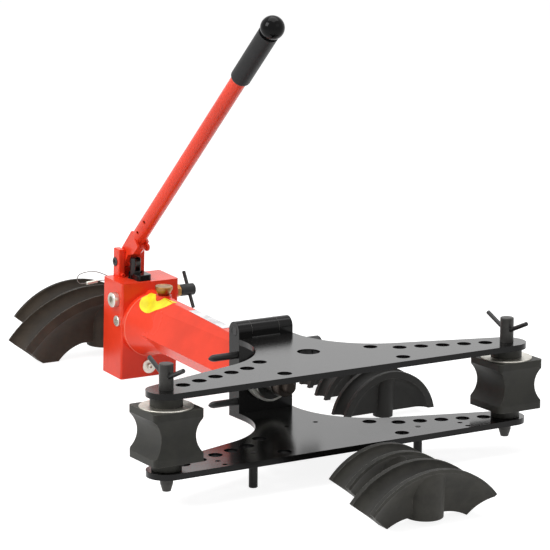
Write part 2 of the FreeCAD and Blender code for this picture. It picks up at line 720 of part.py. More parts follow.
def cylinder_gland():
    """Pale ring at the front of the spigot, with a sleeve that guides the ram."""
    at = lambda y: (0, y, AXIS_HEIGHT)
    flange = rod(GLAND_DIA, at(SPIGOT_FRONT - GLAND_FLANGE), at(SPIGOT_FRONT))
    front = [e for e in flange.Edges if e.BoundBox.YMax < SPIGOT_FRONT - GLAND_FLANGE + 0.1]
    flange = flange.makeChamfer(1.5, front)
    gland = join(flange, rod(GLAND_SLEEVE_DIA, at(SPIGOT_FRONT - 1),
                             at(SPIGOT_FRONT + GLAND_SLEEVE)))
    way = rod(ROD_SEAL_DIA + 2 * RUNNING, at(SPIGOT_FRONT - GLAND_FLANGE - 1),
              at(SPIGOT_FRONT + GLAND_SLEEVE + 1))
    seat = rod(ROD_SEAL_DIA + 2 * WIPER_WALL, at(SPIGOT_FRONT - GLAND_FLANGE + 1),
               at(SPIGOT_FRONT - GLAND_FLANGE + 1 + WIPER_THICK))
    return cut(gland, way, seat)


def rod_wiper():
    """Wiper ring in the gland."""
    start = SPIGOT_FRONT - GLAND_FLANGE + 1
    outer = rod(ROD_SEAL_DIA + 2 * WIPER_WALL - 2 * THREAD_CLEARANCE,
                (0, start + THREAD_CLEARANCE, AXIS_HEIGHT),
                (0, start + WIPER_THICK - THREAD_CLEARANCE, AXIS_HEIGHT))
    return outer.cut(rod(ROD_SEAL_DIA + 2 * RUNNING, (0, start - 1, AXIS_HEIGHT),
                         (0, start + WIPER_THICK + 1, AXIS_HEIGHT)))


def ram_rod():
    """Ram with its piston, stepped down to carry the nose."""
    piston_front = PISTON_REAR - PISTON_LENGTH
    piston = CYLINDER_BORE / 2 - RUNNING
    ram = ROD_SEAL_DIA / 2
    neck = RAM_NECK_DIA / 2
    seal_at = PISTON_REAR - PISTON_SEAL_WIDTH - 8
    groove = piston - PISTON_SEAL_DEPTH
    profile = [(0, NOSE_FRONT + NOSE_WALL), (neck, NOSE_FRONT + NOSE_WALL),
               (neck, NOSE_FRONT + NOSE_LENGTH),
               (ram, NOSE_FRONT + NOSE_LENGTH), (ram, piston_front), (piston, piston_front),
               (piston, seal_at), (groove, seal_at), (groove, seal_at + PISTON_SEAL_WIDTH),
               (piston, seal_at + PISTON_SEAL_WIDTH), (piston, PISTON_REAR), (0, PISTON_REAR)]
    face = polygon_face([(r, y, AXIS_HEIGHT) for r, y in profile])
    return face.revolve(Vector(0, 0, AXIS_HEIGHT), Y_AXIS, 360)


def piston_seal():
    """Seal ring in the groove of the piston."""
    start = PISTON_REAR - PISTON_SEAL_WIDTH - 8
    inner = CYLINDER_BORE / 2 - RUNNING - PISTON_SEAL_DEPTH + THREAD_CLEARANCE
    at = lambda y: (0, y, AXIS_HEIGHT)
    ring = rod(CYLINDER_BORE - 2 * RUNNING, at(start + THREAD_CLEARANCE),
               at(start + PISTON_SEAL_WIDTH - THREAD_CLEARANCE))
    return ring.cut(rod(2 * inner, at(start - 1), at(start + PISTON_SEAL_WIDTH + 1)))


def ram_nose():
    """Nose of the ram: a shoulder with a peg that locates a former."""
    nose = NOSE_DIA / 2
    peg = PEG_DIA / 2
    back = NOSE_FRONT + NOSE_LENGTH
    tip = NOSE_FRONT - PEG_LENGTH
    neck = RAM_NECK_DIA / 2 + THREAD_CLEARANCE
    floor = NOSE_FRONT + NOSE_WALL - THREAD_CLEARANCE
    profile = [(0, tip), (peg - 1.5, tip), (peg, tip + 1.5), (peg, NOSE_FRONT),
               (nose - 1.5, NOSE_FRONT), (nose, NOSE_FRONT + 1.5), (nose, back - 1),
               (nose - 1, back), (neck, back), (neck, floor), (0, floor)]
    face = polygon_face([(r, y, AXIS_HEIGHT) for r, y in profile])
    return face.revolve(Vector(0, 0, AXIS_HEIGHT), Y_AXIS, 360)


# Pump block and what is screwed in it
def plug_way(y, z, diameter):
    """Threaded hole and check chamber behind a plug, as a bar to cut away."""
    thread = diameter * PLUG_THREAD_RATIO
    hole = rod(thread + 2 * THREAD_CLEARANCE, (-PUMP_HALF - 1, y, z),
               (-PUMP_HALF + CHAMBER_DEPTH, y, z))
    seat = cone(thread / 2, PORT_DIA / 2, (-PUMP_HALF + CHAMBER_DEPTH, y, z),
                (-PUMP_HALF + CHAMBER_DEPTH + thread / 2, y, z))
    port = rod(PORT_DIA, (-PUMP_HALF + CHAMBER_DEPTH + thread / 2, y, z),
               (LEVER_X, PLUNGER_Y, PORT_Z))
    return join(hole, seat, port)


def oil_way():
    """Drilling from under the plunger to the back of the cylinder's bore."""
    return rod(PORT_DIA, (LEVER_X, BORE_REAR - 1, PORT_Z), (LEVER_X, PLUNGER_Y, PORT_Z))


def pump_block():
    """Square pump block with its plunger well, check chambers and valve hole."""
    block = box((-PUMP_HALF, PUMP_HALF), (PUMP_FRONT, PUMP_REAR), (0, PUMP_HEIGHT))
    block = block.makeChamfer(PUMP_CHAMFER, upright_edges(block, Z_AXIS))
    well = rod(PLUNGER_DIA + 2 * RUNNING, (LEVER_X, PLUNGER_Y, PLUNGER_WELL_BOTTOM),
               (LEVER_X, PLUNGER_Y, PUMP_HEIGHT + 1))
    seal_seat = rod(PLUNGER_DIA + 2 * PLUNGER_SEAL_WALL,
                    (LEVER_X, PLUNGER_Y, PUMP_HEIGHT - PLUNGER_SEAL_THICK),
                    (LEVER_X, PLUNGER_Y, PUMP_HEIGHT + 1))
    valve_way = rod(VALVE_STEM_DIA + 2 * RUNNING, (VALVE_STEM_START, VALVE_Y, VALVE_Z),
                    (PUMP_HALF + 1, VALVE_Y, VALVE_Z))
    screw_way = rod(WASHER_SCREW_SHANK + 2 * THREAD_CLEARANCE, (0, PUMP_FRONT - 1, WASHER_Z),
                    (0, PUMP_FRONT + WASHER_SCREW_DEPTH, WASHER_Z))
    eye_way = rod(EYE_SCREW_DIA / 2 + 2 * THREAD_CLEARANCE,
                  (EYE_SCREW_X, PUMP_REAR - WASHER_SCREW_DEPTH, EYE_SCREW_Z),
                  (EYE_SCREW_X, PUMP_REAR + 1, EYE_SCREW_Z))
    return cut(block, well, seal_seat, valve_way, screw_way, eye_way, oil_way(),
               plug_way(LARGE_PLUG_Y, LARGE_PLUG_Z, LARGE_PLUG_DIA),
               plug_way(SMALL_PLUG_Y, SMALL_PLUG_Z, SMALL_PLUG_DIA))


def ball_place(diameter):
    """Radius of the check ball behind a plug, and where it lies on its conical seat."""
    bore = diameter * PLUG_THREAD_RATIO / 2
    radius = diameter * CHECK_BALL_RATIO / 2
    slope = (bore - PORT_DIA / 2) / bore
    ahead = (bore - radius * math.hypot(1, slope)) / slope
    return radius, -PUMP_HALF + CHAMBER_DEPTH + ahead - THREAD_CLEARANCE


def hexagon_bar(across, centre, reach):
    """Bar with a hexagonal section of a given width across its flats."""
    start, along = Vector(*centre), Vector(*reach)
    corner = Z_AXIS * (across / 2 / math.cos(math.pi / 6))
    turn = lambda k: start + FreeCAD.Rotation(along, 60 * k).multVec(corner)
    return polygon_face([tuple(turn(k)) for k in range(6)]).extrude(along)


def check_plug(y, z, diameter, head_length, across):
    """Plug with a chamfered head, a hexagon socket and a nose that limits the ball."""
    face_x = -PUMP_HALF
    thread = diameter * PLUG_THREAD_RATIO
    head = rod(diameter, (face_x - head_length, y, z), (face_x, y, z))
    outer = [e for e in head.Edges if e.BoundBox.XMax < face_x - head_length + 0.1]
    head = head.makeChamfer(1.0, outer)
    shank = rod(thread, (face_x - 1, y, z), (face_x + PLUG_DEPTH, y, z))
    radius, centre = ball_place(diameter)
    stop_end = centre - radius - 1
    stop = rod(thread / 3, (face_x + PLUG_DEPTH - 1, y, z), (stop_end, y, z))
    socket = hexagon_bar(across, (face_x - head_length - 1, y, z), (PLUG_SOCKET_DEPTH + 1, 0, 0))
    return join(head, shank, stop).cut(socket)


def check_balls():
    """Suction and delivery balls on their seats."""
    balls = []
    for y, z, diameter in ((LARGE_PLUG_Y, LARGE_PLUG_Z, LARGE_PLUG_DIA),
                           (SMALL_PLUG_Y, SMALL_PLUG_Z, SMALL_PLUG_DIA)):
        radius, x = ball_place(diameter)
        balls.append(Part.makeSphere(radius, Vector(x, y, z)))
    return Part.makeCompound(balls)


def front_washer():
    """Plated washer on the front of the pump block."""
    washer = rod(WASHER_DIA, (0, PUMP_FRONT - WASHER_THICK, WASHER_Z), (0, PUMP_FRONT, WASHER_Z))
    front = [e for e in washer.Edges if e.BoundBox.YMax < PUMP_FRONT - WASHER_THICK + 0.1]
    washer = washer.makeChamfer(0.8, front)
    return washer.cut(rod(WASHER_SCREW_SHANK + 2 * THREAD_CLEARANCE,
                          (0, PUMP_FRONT - WASHER_THICK - 1, WASHER_Z),
                          (0, PUMP_FRONT + 1, WASHER_Z)))


def front_screw():
    """Socket screw through the washer."""
    face = PUMP_FRONT - WASHER_THICK
    head = rod(WASHER_SCREW_DIA, (0, face - WASHER_SCREW_HEAD, WASHER_Z), (0, face, WASHER_Z))
    shank = rod(WASHER_SCREW_SHANK, (0, face - 1, WASHER_Z),
                (0, PUMP_FRONT + WASHER_SCREW_DEPTH - 1, WASHER_Z))
    socket = hexagon_bar(WASHER_SCREW_SOCKET, (0, face - WASHER_SCREW_HEAD - 1, WASHER_Z),
                         (0, WASHER_SCREW_HEAD * 0.7 + 1, 0))
    return join(head, shank).cut(socket)


def filler_neck():
    """Short neck on the housing, over the oil space."""
    base = AXIS_HEIGHT + OIL_SPACE_TOP
    neck = rod(NECK_DIA, (0, FILLER_Y, base), (0, FILLER_Y, NECK_TOP))
    way = rod(NECK_BORE, (0, FILLER_Y, base - 1), (0, FILLER_Y, NECK_TOP + 1))
    return cut(neck, way, housing_body())


def filler_cap():
    """Brass cap with a fluted rim and a stem in the neck."""
    low = NECK_TOP + CAP_LIFT
    radius = CAP_DIA / 2
    skirt = low + CAP_HEIGHT * 0.7
    profile = [(0, low), (radius - 2, low), (radius, low + 2), (radius, skirt),
               (radius - 1.2, skirt + 1.2), (radius * 0.72, skirt + 1.6),
               (radius * 0.66, low + CAP_HEIGHT), (0, low + CAP_HEIGHT)]
    face = polygon_face([(r, FILLER_Y, z) for r, z in profile])
    cap = face.revolve(Vector(0, FILLER_Y, 0), Z_AXIS, 360)
    stem = rod(CAP_STEM_DIA, (0, FILLER_Y, low - CAP_STEM), (0, FILLER_Y, low + 1))
    return join(cap, stem)


# Release valve
def valve_boss():
    """Raised boss on the side of the pump block."""
    boss = rod(VALVE_BOSS_DIA, (PUMP_HALF, VALVE_Y, VALVE_Z), (VALVE_BOSS_END, VALVE_Y, VALVE_Z))
    return boss.cut(rod(VALVE_STEM_DIA + 2 * RUNNING, (PUMP_HALF - 1, VALVE_Y, VALVE_Z),
                        (VALVE_BOSS_END + 1, VALVE_Y, VALVE_Z)))


def valve_nut():
    """Hexagon gland nut round the valve stem."""
    reach = VALVE_NUT_ACROSS / 2 / math.cos(math.pi / 6)
    nut = hexagon_bar(VALVE_NUT_ACROSS, (VALVE_BOSS_END, VALVE_Y, VALVE_Z),
                      (VALVE_NUT_END - VALVE_BOSS_END, 0, 0))
    bevel = cone(reach + 4.4, reach - 0.6, (VALVE_NUT_END - 5, VALVE_Y, VALVE_Z),
                 (VALVE_NUT_END, VALVE_Y, VALVE_Z))
    blank = join(rod(2 * reach + 8.8, (VALVE_BOSS_END - 1, VALVE_Y, VALVE_Z),
                     (VALVE_NUT_END - 5, VALVE_Y, VALVE_Z)), bevel)
    nut = nut.common(blank)
    return nut.cut(rod(VALVE_STEM_DIA + 2 * RUNNING, (VALVE_BOSS_END - 1, VALVE_Y, VALVE_Z),
                       (VALVE_NUT_END + 1, VALVE_Y, VALVE_Z)))


def valve_stem():
    """Stem with a conical seat, from inside the block to the knob."""
    start = VALVE_STEM_START + 1
    seat = cone(1.5, VALVE_STEM_DIA / 2, (start, VALVE_Y, VALVE_Z), (start + 4, VALVE_Y, VALVE_Z))
    return join(seat, rod(VALVE_STEM_DIA, (start + 4, VALVE_Y, VALVE_Z),
                          (VALVE_NUT_END + FACE_GAP + 10, VALVE_Y, VALVE_Z)))


def valve_bar(width):
    """Cross bar of the release valve, at a given width."""
    tilt = math.radians(VALVE_BAR_TILT)
    step_y = math.sin(tilt) * VALVE_BAR_LENGTH / 2
    step_z = math.cos(tilt) * VALVE_BAR_LENGTH / 2
    return rod(width, (VALVE_BAR_X, VALVE_Y - step_y, VALVE_Z - step_z),
               (VALVE_BAR_X, VALVE_Y + step_y, VALVE_Z + step_z))


def valve_knob():
    """Round knob on the stem, cross-drilled for its bar."""
    start = VALVE_NUT_END + FACE_GAP
    knob = rod(VALVE_KNOB_DIA, (start, VALVE_Y, VALVE_Z), (VALVE_KNOB_END, VALVE_Y, VALVE_Z))
    knob = knob.makeChamfer(1.0, [e for e in knob.Edges if isinstance(e.Curve, Part.Circle)])
    knob = knob.cut(rod(VALVE_STEM_DIA + 2 * THREAD_CLEARANCE, (start - 1, VALVE_Y, VALVE_Z),
                        (start + 10 + THREAD_CLEARANCE, VALVE_Y, VALVE_Z)))
    return knob.cut(valve_bar(VALVE_BAR_DIA + 2 * THREAD_CLEARANCE))


def tommy_bar():
    """Cross bar with chamfered ends."""
    bar = valve_bar(VALVE_BAR_DIA)
    return bar.makeChamfer(0.8, [e for e in bar.Edges if isinstance(e.Curve, Part.Circle)])


# Plunger
def plunger_gland():
    """Black rounded block that closes the plunger well."""
    top = PUMP_HEIGHT + PUMP_GLAND_HEIGHT
    gland = box((PUMP_GLAND_LEFT, PUMP_GLAND_RIGHT), (PUMP_GLAND_FRONT, PUMP_GLAND_REAR),
                (PUMP_HEIGHT, top))
    gland = gland.makeFillet(PUMP_GLAND_CORNER, upright_edges(gland, Z_AXIS))
    rims = [e for e in gland.Edges if e.BoundBox.ZMin > top - 0.1]
    gland = gland.makeFillet(1.5, rims)
    way = rod(PLUNGER_DIA + 2 * RUNNING, (LEVER_X, PLUNGER_Y, PUMP_HEIGHT - 1),
              (LEVER_X, PLUNGER_Y, top + 1))
    recess = rod(PUMP_GLAND_RECESS_DIA, (LEVER_X, PLUNGER_Y, top - PUMP_GLAND_RECESS),
                 (LEVER_X, PLUNGER_Y, top + 1))
    return cut(gland, way, recess)


def plunger_seal():
    """Seal ring under the plunger gland."""
    low = PUMP_HEIGHT - PLUNGER_SEAL_THICK + THREAD_CLEARANCE
    high = PUMP_HEIGHT - THREAD_CLEARANCE
    ring = rod(PLUNGER_DIA + 2 * PLUNGER_SEAL_WALL - 2 * THREAD_CLEARANCE,
               (LEVER_X, PLUNGER_Y, low), (LEVER_X, PLUNGER_Y, high))
    return ring.cut(rod(PLUNGER_DIA + 2 * RUNNING, (LEVER_X, PLUNGER_Y, low - 1),
                        (LEVER_X, PLUNGER_Y, high + 1)))


def pump_plunger():
    """Plunger with a fork at its top for the lever's tongue."""
    top = FULCRUM_Z + PLUNGER_TOP_OVER_PIN
    plunger = rod(PLUNGER_DIA, (LEVER_X, PLUNGER_Y, PLUNGER_BOTTOM), (LEVER_X, PLUNGER_Y, top))
    plunger = plunger.makeChamfer(1.0, [e for e in plunger.Edges if isinstance(e.Curve, Part.Circle)])
    half_slot = TONGUE_THICK / 2 + 0.4
    slot = box((LEVER_X - half_slot, LEVER_X + half_slot),
               (PLUNGER_Y - PLUNGER_DIA, PLUNGER_Y + PLUNGER_DIA),
               (FULCRUM_Z - PLUNGER_SLOT_DEPTH, top + 1))
    hole = rod(PLUNGER_PIN_DIA + 2 * THREAD_CLEARANCE,
               (LEVER_X - PLUNGER_DIA, PLUNGER_Y, FULCRUM_Z),
               (LEVER_X + PLUNGER_DIA, PLUNGER_Y, FULCRUM_Z))
    return cut(plunger, slot, hole)


def plunger_pin():
    """Cross pin in the fork, flush with the plunger."""
    half = math.sqrt((PLUNGER_DIA / 2) ** 2 - (PLUNGER_PIN_DIA / 2) ** 2) - THREAD_CLEARANCE
    return rod(PLUNGER_PIN_DIA, (LEVER_X - half, PLUNGER_Y, FULCRUM_Z),
               (LEVER_X + half, PLUNGER_Y, FULCRUM_Z))


# Fulcrum
def fulcrum_ear(inner_x, outer_x):
    """Upright ear on the pump block, drilled for the fulcrum pin."""
    x_range = sorted((inner_x, outer_x))
    ear = box(x_range, (PUMP_REAR - FULCRUM_EAR_DEPTH, PUMP_REAR),
              (PUMP_HEIGHT, PUMP_HEIGHT + FULCRUM_EAR_HEIGHT))
    rims = [e for e in ear.Edges if e.BoundBox.ZMin > PUMP_HEIGHT + 1]
    ear = ear.makeFillet(2.0, upright_edges(ear, Z_AXIS) + rims)
    return ear.cut(rod(FULCRUM_PIN_DIA + 2 * THREAD_CLEARANCE,
                       (x_range[0] - 1, FULCRUM_Y, FULCRUM_Z),
                       (x_range[1] + 1, FULCRUM_Y, FULCRUM_Z)))


def fulcrum_web():
    """Low wall that ties the two ears behind the lever's hub."""
    half = EAR_GAP / 2
    top = FULCRUM_Z - HOLDER_HUB_RADIUS - FULCRUM_WEB_GAP
    return box((LEVER_X - half, LEVER_X + half), (PUMP_REAR - FULCRUM_WEB_THICK, PUMP_REAR),
               (PUMP_HEIGHT, top))


def fulcrum_pin():
    """Headed pin through both ears and the lever's holder, centre-drilled at each end."""
    half = EAR_GAP / 2 + FULCRUM_EAR_THICK
    left, right = LEVER_X - half - FULCRUM_PIN_HEAD, LEVER_X + half
    at = lambda x: (x, FULCRUM_Y, FULCRUM_Z)
    pin = join(rod(FULCRUM_PIN_HEAD_DIA, at(left), at(left + FULCRUM_PIN_HEAD)),
               rod(FULCRUM_PIN_DIA, at(left), at(right)))
    rims = [e for e in pin.Edges if isinstance(e.Curve, Part.Circle)
            and (e.BoundBox.XMax < left + 0.1 or e.BoundBox.XMin > right - 0.1)]
    pin = pin.makeChamfer(0.5, rims)
    return cut(pin, cone(3.5, 2.0, at(left), at(left + 3)), cone(2.0, 3.5, at(right - 3), at(right)))


def fulcrum_screw():
    """Small socket screw at the foot of the left ear."""
    face = PUMP_REAR - FULCRUM_EAR_DEPTH
    z = PUMP_HEIGHT + FULCRUM_SCREW_RISE
    head = rod(FULCRUM_SCREW_DIA, (FULCRUM_SCREW_X, face - FULCRUM_SCREW_HEAD, z),
               (FULCRUM_SCREW_X, face, z))
    return head.cut(rod(FULCRUM_SCREW_DIA / 2, (FULCRUM_SCREW_X, face - FULCRUM_SCREW_HEAD - 1, z),
                        (FULCRUM_SCREW_X, face - FULCRUM_SCREW_HEAD / 2, z)))


# Lever, drawn with its tube upright over the fulcrum and then tilted
def tilt(shape):
    """Tilt a piece of the lever to its stored angle and put it on the fulcrum."""
    tilted = turned(shape, (0, 0, 0), X_AXIS, 90 - LEVER_ELEVATION)
    return moved(tilted, LEVER_X, FULCRUM_Y, FULCRUM_Z)


def lever_holder():
    """Forged holder: hub, cheeks and socket for the tube, slotted tongue for the plunger pin."""
    half = EAR_GAP / 2 - HOLDER_SIDE_GAP
    side_view = [(9, -6), (16, 8), (17, 20), (HOLDER_BACK, HOLDER_END),
                 (HOLDER_BELLY, HOLDER_END), (HOLDER_BELLY, 41), (-4.5, 25), (-8, 8), (-7, -6)]
    body = polygon_face([(-half, n, s) for n, s in side_view]).extrude(Vector(2 * half, 0, 0))
    belly = polygon_face([(0, HOLDER_BELLY - 1, -1), (half + 1, HOLDER_BELLY - 1, -1),
                          (half + 1, HOLDER_RIGHT_BELLY, -1)]).extrude(Vector(0, 0, HOLDER_END + 2))
    body = body.cut(belly)
    hub = rod(2 * HOLDER_HUB_RADIUS, (-half, 0, 0), (half, 0, 0))
    socket = rod(STUB_DIA + 2 * THREAD_CLEARANCE, (0, LEVER_OFFSET, HOLDER_LEDGE - STUB_DEPTH - 1),
                 (0, LEVER_OFFSET, HOLDER_END + 1))
    between = half - HOLDER_CHEEK
    mouth = box((-between, between), (HOLDER_BELLY - 1, HOLDER_BACK + 1),
                (HOLDER_LEDGE, HOLDER_END + 1))
    screw_way = rod(CLAMP_SCREW_DIA + 2 * THREAD_CLEARANCE,
                    (-half / 2, CLAMP_SCREW_OFFSET, CLAMP_SCREW_ALONG),
                    (half + 1, CLAMP_SCREW_OFFSET, CLAMP_SCREW_ALONG))
    upper = tilt(cut(join(body, hub), socket, mouth, screw_way))
    relief = rod(PLUNGER_DIA + 2 * HOLDER_SIDE_GAP, (LEVER_X, PLUNGER_Y, PUMP_HEIGHT),
                 (LEVER_X, PLUNGER_Y, FULCRUM_Z + PLUNGER_TOP_OVER_PIN + 1))
    holder = join(upper.cut(relief), tongue())
    return holder.cut(rod(FULCRUM_PIN_DIA + 2 * RUNNING, (LEVER_X - half - 1, FULCRUM_Y, FULCRUM_Z),
                          (LEVER_X + half + 1, FULCRUM_Y, FULCRUM_Z)))


def tongue():
    """Tongue of the holder, slotted so that the pin can slide as the lever swings."""
    slot_radius = PLUNGER_PIN_DIA / 2 + TONGUE_SLOT_PLAY
    half_height = slot_radius + TONGUE_WALL
    near, far = PLUNGER_ARM - 1.2, PLUNGER_ARM + 4.2
    x_range = (LEVER_X - TONGUE_THICK / 2, LEVER_X + TONGUE_THICK / 2)
    bar = box(x_range, (FULCRUM_Y - far, FULCRUM_Y),
              (FULCRUM_Z - half_height, FULCRUM_Z + half_height))
    at = lambda x, arm: (x, FULCRUM_Y - arm, FULCRUM_Z)
    tip = rod(2 * half_height, at(x_range[0], far), at(x_range[1], far))
    slot = box((x_range[0] - 1, x_range[1] + 1), (FULCRUM_Y - far, FULCRUM_Y - near),
               (FULCRUM_Z - slot_radius, FULCRUM_Z + slot_radius))
    ends = [rod(2 * slot_radius, at(x_range[0] - 1, arm), at(x_range[1] + 1, arm))
            for arm in (near, far)]
    return cut(join(bar, tip), join(slot, *ends))


def lever_tube():
    """Tube with a flatted foot between the cheeks, a stub in the holder and two holes."""
    at = lambda s: (0, LEVER_OFFSET, s)
    tube = rod(TUBE_DIA, at(HOLDER_LEDGE), at(TUBE_END))
    tube = tube.cut(rod(TUBE_BORE, at(HOLDER_END + 12), at(TUBE_END + 1)))
    between = EAR_GAP / 2 - HOLDER_SIDE_GAP - HOLDER_CHEEK - THREAD_CLEARANCE
    for side in (-1, 1):
        flat_x = sorted((side * between, side * TUBE_DIA))
        tube = tube.cut(box(flat_x, (-TUBE_DIA, 2 * TUBE_DIA),
                            (HOLDER_LEDGE - 1, HOLDER_END + THREAD_CLEARANCE)))
    tube = join(tube, rod(STUB_DIA, at(HOLDER_LEDGE - STUB_DEPTH), at(HOLDER_LEDGE + 1)))
    turn = math.radians(TUBE_HOLE_TURN)
    for along in TUBE_HOLES:
        outside = (-TUBE_DIA * math.cos(turn), LEVER_OFFSET - TUBE_DIA * math.sin(turn), along)
        tube = tube.cut(rod(TUBE_HOLE_DIA, outside, at(along)))
    return tilt(tube)


def lever_grip():
    """Sleeve on the tube, rounded at its lower end."""
    at = lambda s: (0, LEVER_OFFSET, s)
    grip = rod(GRIP_DIA, at(GRIP_START), at(GRIP_END))
    low = [e for e in grip.Edges if e.BoundBox.ZMax < GRIP_START + 0.1]
    grip = grip.makeFillet(GRIP_ROUND, low)
    return tilt(grip.cut(rod(TUBE_DIA + 2 * THREAD_CLEARANCE, at(GRIP_START - 1),
                             at(TUBE_END + 1))))


def lever_ball():
    """Glossy ball on the end of the grip."""
    centre = Vector(0, LEVER_OFFSET, BALL_CENTRE)
    ball = Part.makeSphere(BALL_DIA / 2, centre)
    below = box((-BALL_DIA, BALL_DIA), (-BALL_DIA, BALL_DIA + LEVER_OFFSET),
                (BALL_CENTRE - BALL_DIA, GRIP_END))
    return tilt(ball.cut(below))


def lever_screw():
    """Clamp screw across the holder."""
    half = EAR_GAP / 2 - HOLDER_SIDE_GAP
    shank = rod(CLAMP_SCREW_DIA, (-half / 2 + 1, CLAMP_SCREW_OFFSET, CLAMP_SCREW_ALONG),
                (half + 1, CLAMP_SCREW_OFFSET, CLAMP_SCREW_ALONG))
    head = rod(CLAMP_SCREW_HEAD_DIA, (half, CLAMP_SCREW_OFFSET, CLAMP_SCREW_ALONG),
               (half + CLAMP_SCREW_HEAD, CLAMP_SCREW_OFFSET, CLAMP_SCREW_ALONG))
    outer = [e for e in head.Edges if e.BoundBox.XMin > half + CLAMP_SCREW_HEAD - 0.1]
    head = head.makeFillet(2.0, outer)
    return tilt(join(head, shank))


# Wire loop and its screw
def wire_path(route):
    """Straight runs joined by tangent arcs, each as large as its two runs allow."""
    points = [Vector(*p) for p in route]
    edges, start = [], points[0]
    for before, corner, after in zip(points, points[1:], points[2:]):
        back, ahead = before - corner, after - corner
        shorter = 0.45 * min(back.Length, ahead.Length)
        back.normalize()
        ahead.normalize()
        half_turn = (math.pi - back.getAngle(ahead)) / 2
        radius = shorter / math.tan(half_turn)
        inner = (back + ahead).normalize()
        middle = corner + inner * (radius / math.cos(half_turn) - radius)
        first, last = corner + back * shorter, corner + ahead * shorter
        edges += [Part.LineSegment(start, first).toShape(), Part.Arc(first, middle, last).toShape()]
        print("wire arc radius %.1f, turn %.0f" % (radius, math.degrees(2 * half_turn)))
        start = last
    edges.append(Part.LineSegment(start, points[-1]).toShape())
    return Part.Wire(edges)


def lanyard_wire():
    """Thin wire loop from the eye screw, through its ferrule and back."""
    path = wire_path(WIRE_ROUTE)
    ahead = Vector(*WIRE_ROUTE[1]) - Vector(*WIRE_ROUTE[0])
    ring = Part.Circle(Vector(*WIRE_ROUTE[0]), ahead, WIRE_DIA / 2).toShape()
    wire = path.makePipeShell([Part.Wire([ring])], True, False)
    expected = math.pi * WIRE_DIA ** 2 / 4 * path.Length
    print("wire length %.1f, volume %.1f, section times length %.1f"
          % (path.Length, wire.Volume, expected))
    return wire


def lanyard_ferrule():
    """Crimped ferrule on the lower run of the loop."""
    first, second = Vector(*WIRE_ROUTE[-4]), Vector(*WIRE_ROUTE[-3])
    direction = (second - first).normalize()
    middle = (first + second) * 0.5
    reach = direction * (FERRULE_LENGTH / 2)
    start, end = middle - reach, middle + reach
    ferrule = rod(FERRULE_DIA, tuple(start), tuple(end))
    ferrule = ferrule.makeFillet(1.0, [e for e in ferrule.Edges if isinstance(e.Curve, Part.Circle)])
    return ferrule.cut(lanyard_wire())


def eye_screw():
    """Round-headed stud behind the pump block that the loop hangs on."""
    stud = rod(EYE_SCREW_DIA / 2, (EYE_SCREW_X, PUMP_REAR - WASHER_SCREW_DEPTH + 1, EYE_SCREW_Z),
               (EYE_SCREW_X, PUMP_REAR + 1, EYE_SCREW_Z))
    head = rod(EYE_SCREW_DIA, (EYE_SCREW_X, PUMP_REAR, EYE_SCREW_Z),
               (EYE_SCREW_X, PUMP_REAR + EYE_SCREW_STAND, EYE_SCREW_Z))
    rear = [e for e in head.Edges if e.BoundBox.YMin > PUMP_REAR + EYE_SCREW_STAND - 0.1]
    head = head.makeFillet(2.0, rear)
    return join(head, stud)


# Formers
def former_section(former):
    """Section of a former: lands, straight rims, hollow flanks and the web."""
    half = former.width / 2
    across, down = half - former.web, former.cove - former.rim
    hollow = (across ** 2 + down ** 2) / (2 * across)
    start = math.atan2(down, hollow - across)
    bulge = (former.web + hollow * (1 - math.cos(start / 2)),
             former.radius - former.cove + hollow * math.sin(start / 2))
    at = lambda y, r: (0, y, r)
    edges = [line(at(-half, former.radius), at(half, former.radius)),
             line(at(former.web, 1), at(-former.web, 1))]
    for side in (1, -1):
        rim_end = at(side * half, former.radius - former.rim)
        web_start = at(side * former.web, former.radius - former.cove)
        edges += [line(at(side * half, former.radius), rim_end),
                  arc(rim_end, at(side * bulge[0], bulge[1]), web_start),
                  line(web_start, at(side * former.web, 1))]
    return edges_face(edges)


def former_shape(former):
    """Grooved sector with a thin web, arched underneath, and its locating hub."""
    half_angle = math.radians(former.half_angle)
    centre_z = former.stand - (former.radius - former.end) * math.cos(half_angle)
    section = turned(former_section(former), (0, 0, 0), Y_AXIS, -former.half_angle)
    sector = section.revolve(Vector(0, 0, 0), Y_AXIS, 2 * former.half_angle)
    sector = moved(sector, z=centre_z)
    corner = former.radius + 10
    floor, arch = former.stand, former.stand + former.rise
    at = lambda x, z: (x, -former.width, z)
    edges = [line(at(-former.slope, arch), at(former.slope, arch)),
             line(at(corner, corner), at(-corner, corner))]
    for side in (1, -1):
        foot, slope = side * former.foot, side * former.slope
        middle = at((foot + slope) / 2, floor + former.rise * ARCH_FULLNESS)
        if former.rise:
            edges.append(arc(at(foot, floor), middle, at(slope, arch)))
        else:
            edges.append(line(at(foot, floor), at(slope, arch)))
        edges += [line(at(foot, floor), at(side * corner, floor)),
                  line(at(side * corner, floor), at(side * corner, corner))]
    solid = sector.common(edges_face(edges).extrude(Vector(0, 2 * former.width, 0)))
    groove_radius = former.pipe / 2 + GROOVE_PLAY
    hub_top = centre_z + former.radius - former.rim
    solid = join(solid, rod(2 * former.hub, (0, 0, former.hub_drop), (0, 0, hub_top)))
    groove = Part.makeTorus(former.radius, groove_radius, Vector(0, 0, centre_z), Y_AXIS)
    socket = rod(PEG_DIA + 2 * SOCKET_PLAY, (0, 0, former.hub_drop - 1),
                 (0, 0, former.hub_drop + PEG_LENGTH + SOCKET_EXTRA))
    return moved(cut(solid, groove, socket), former.x, former.near + former.width / 2)


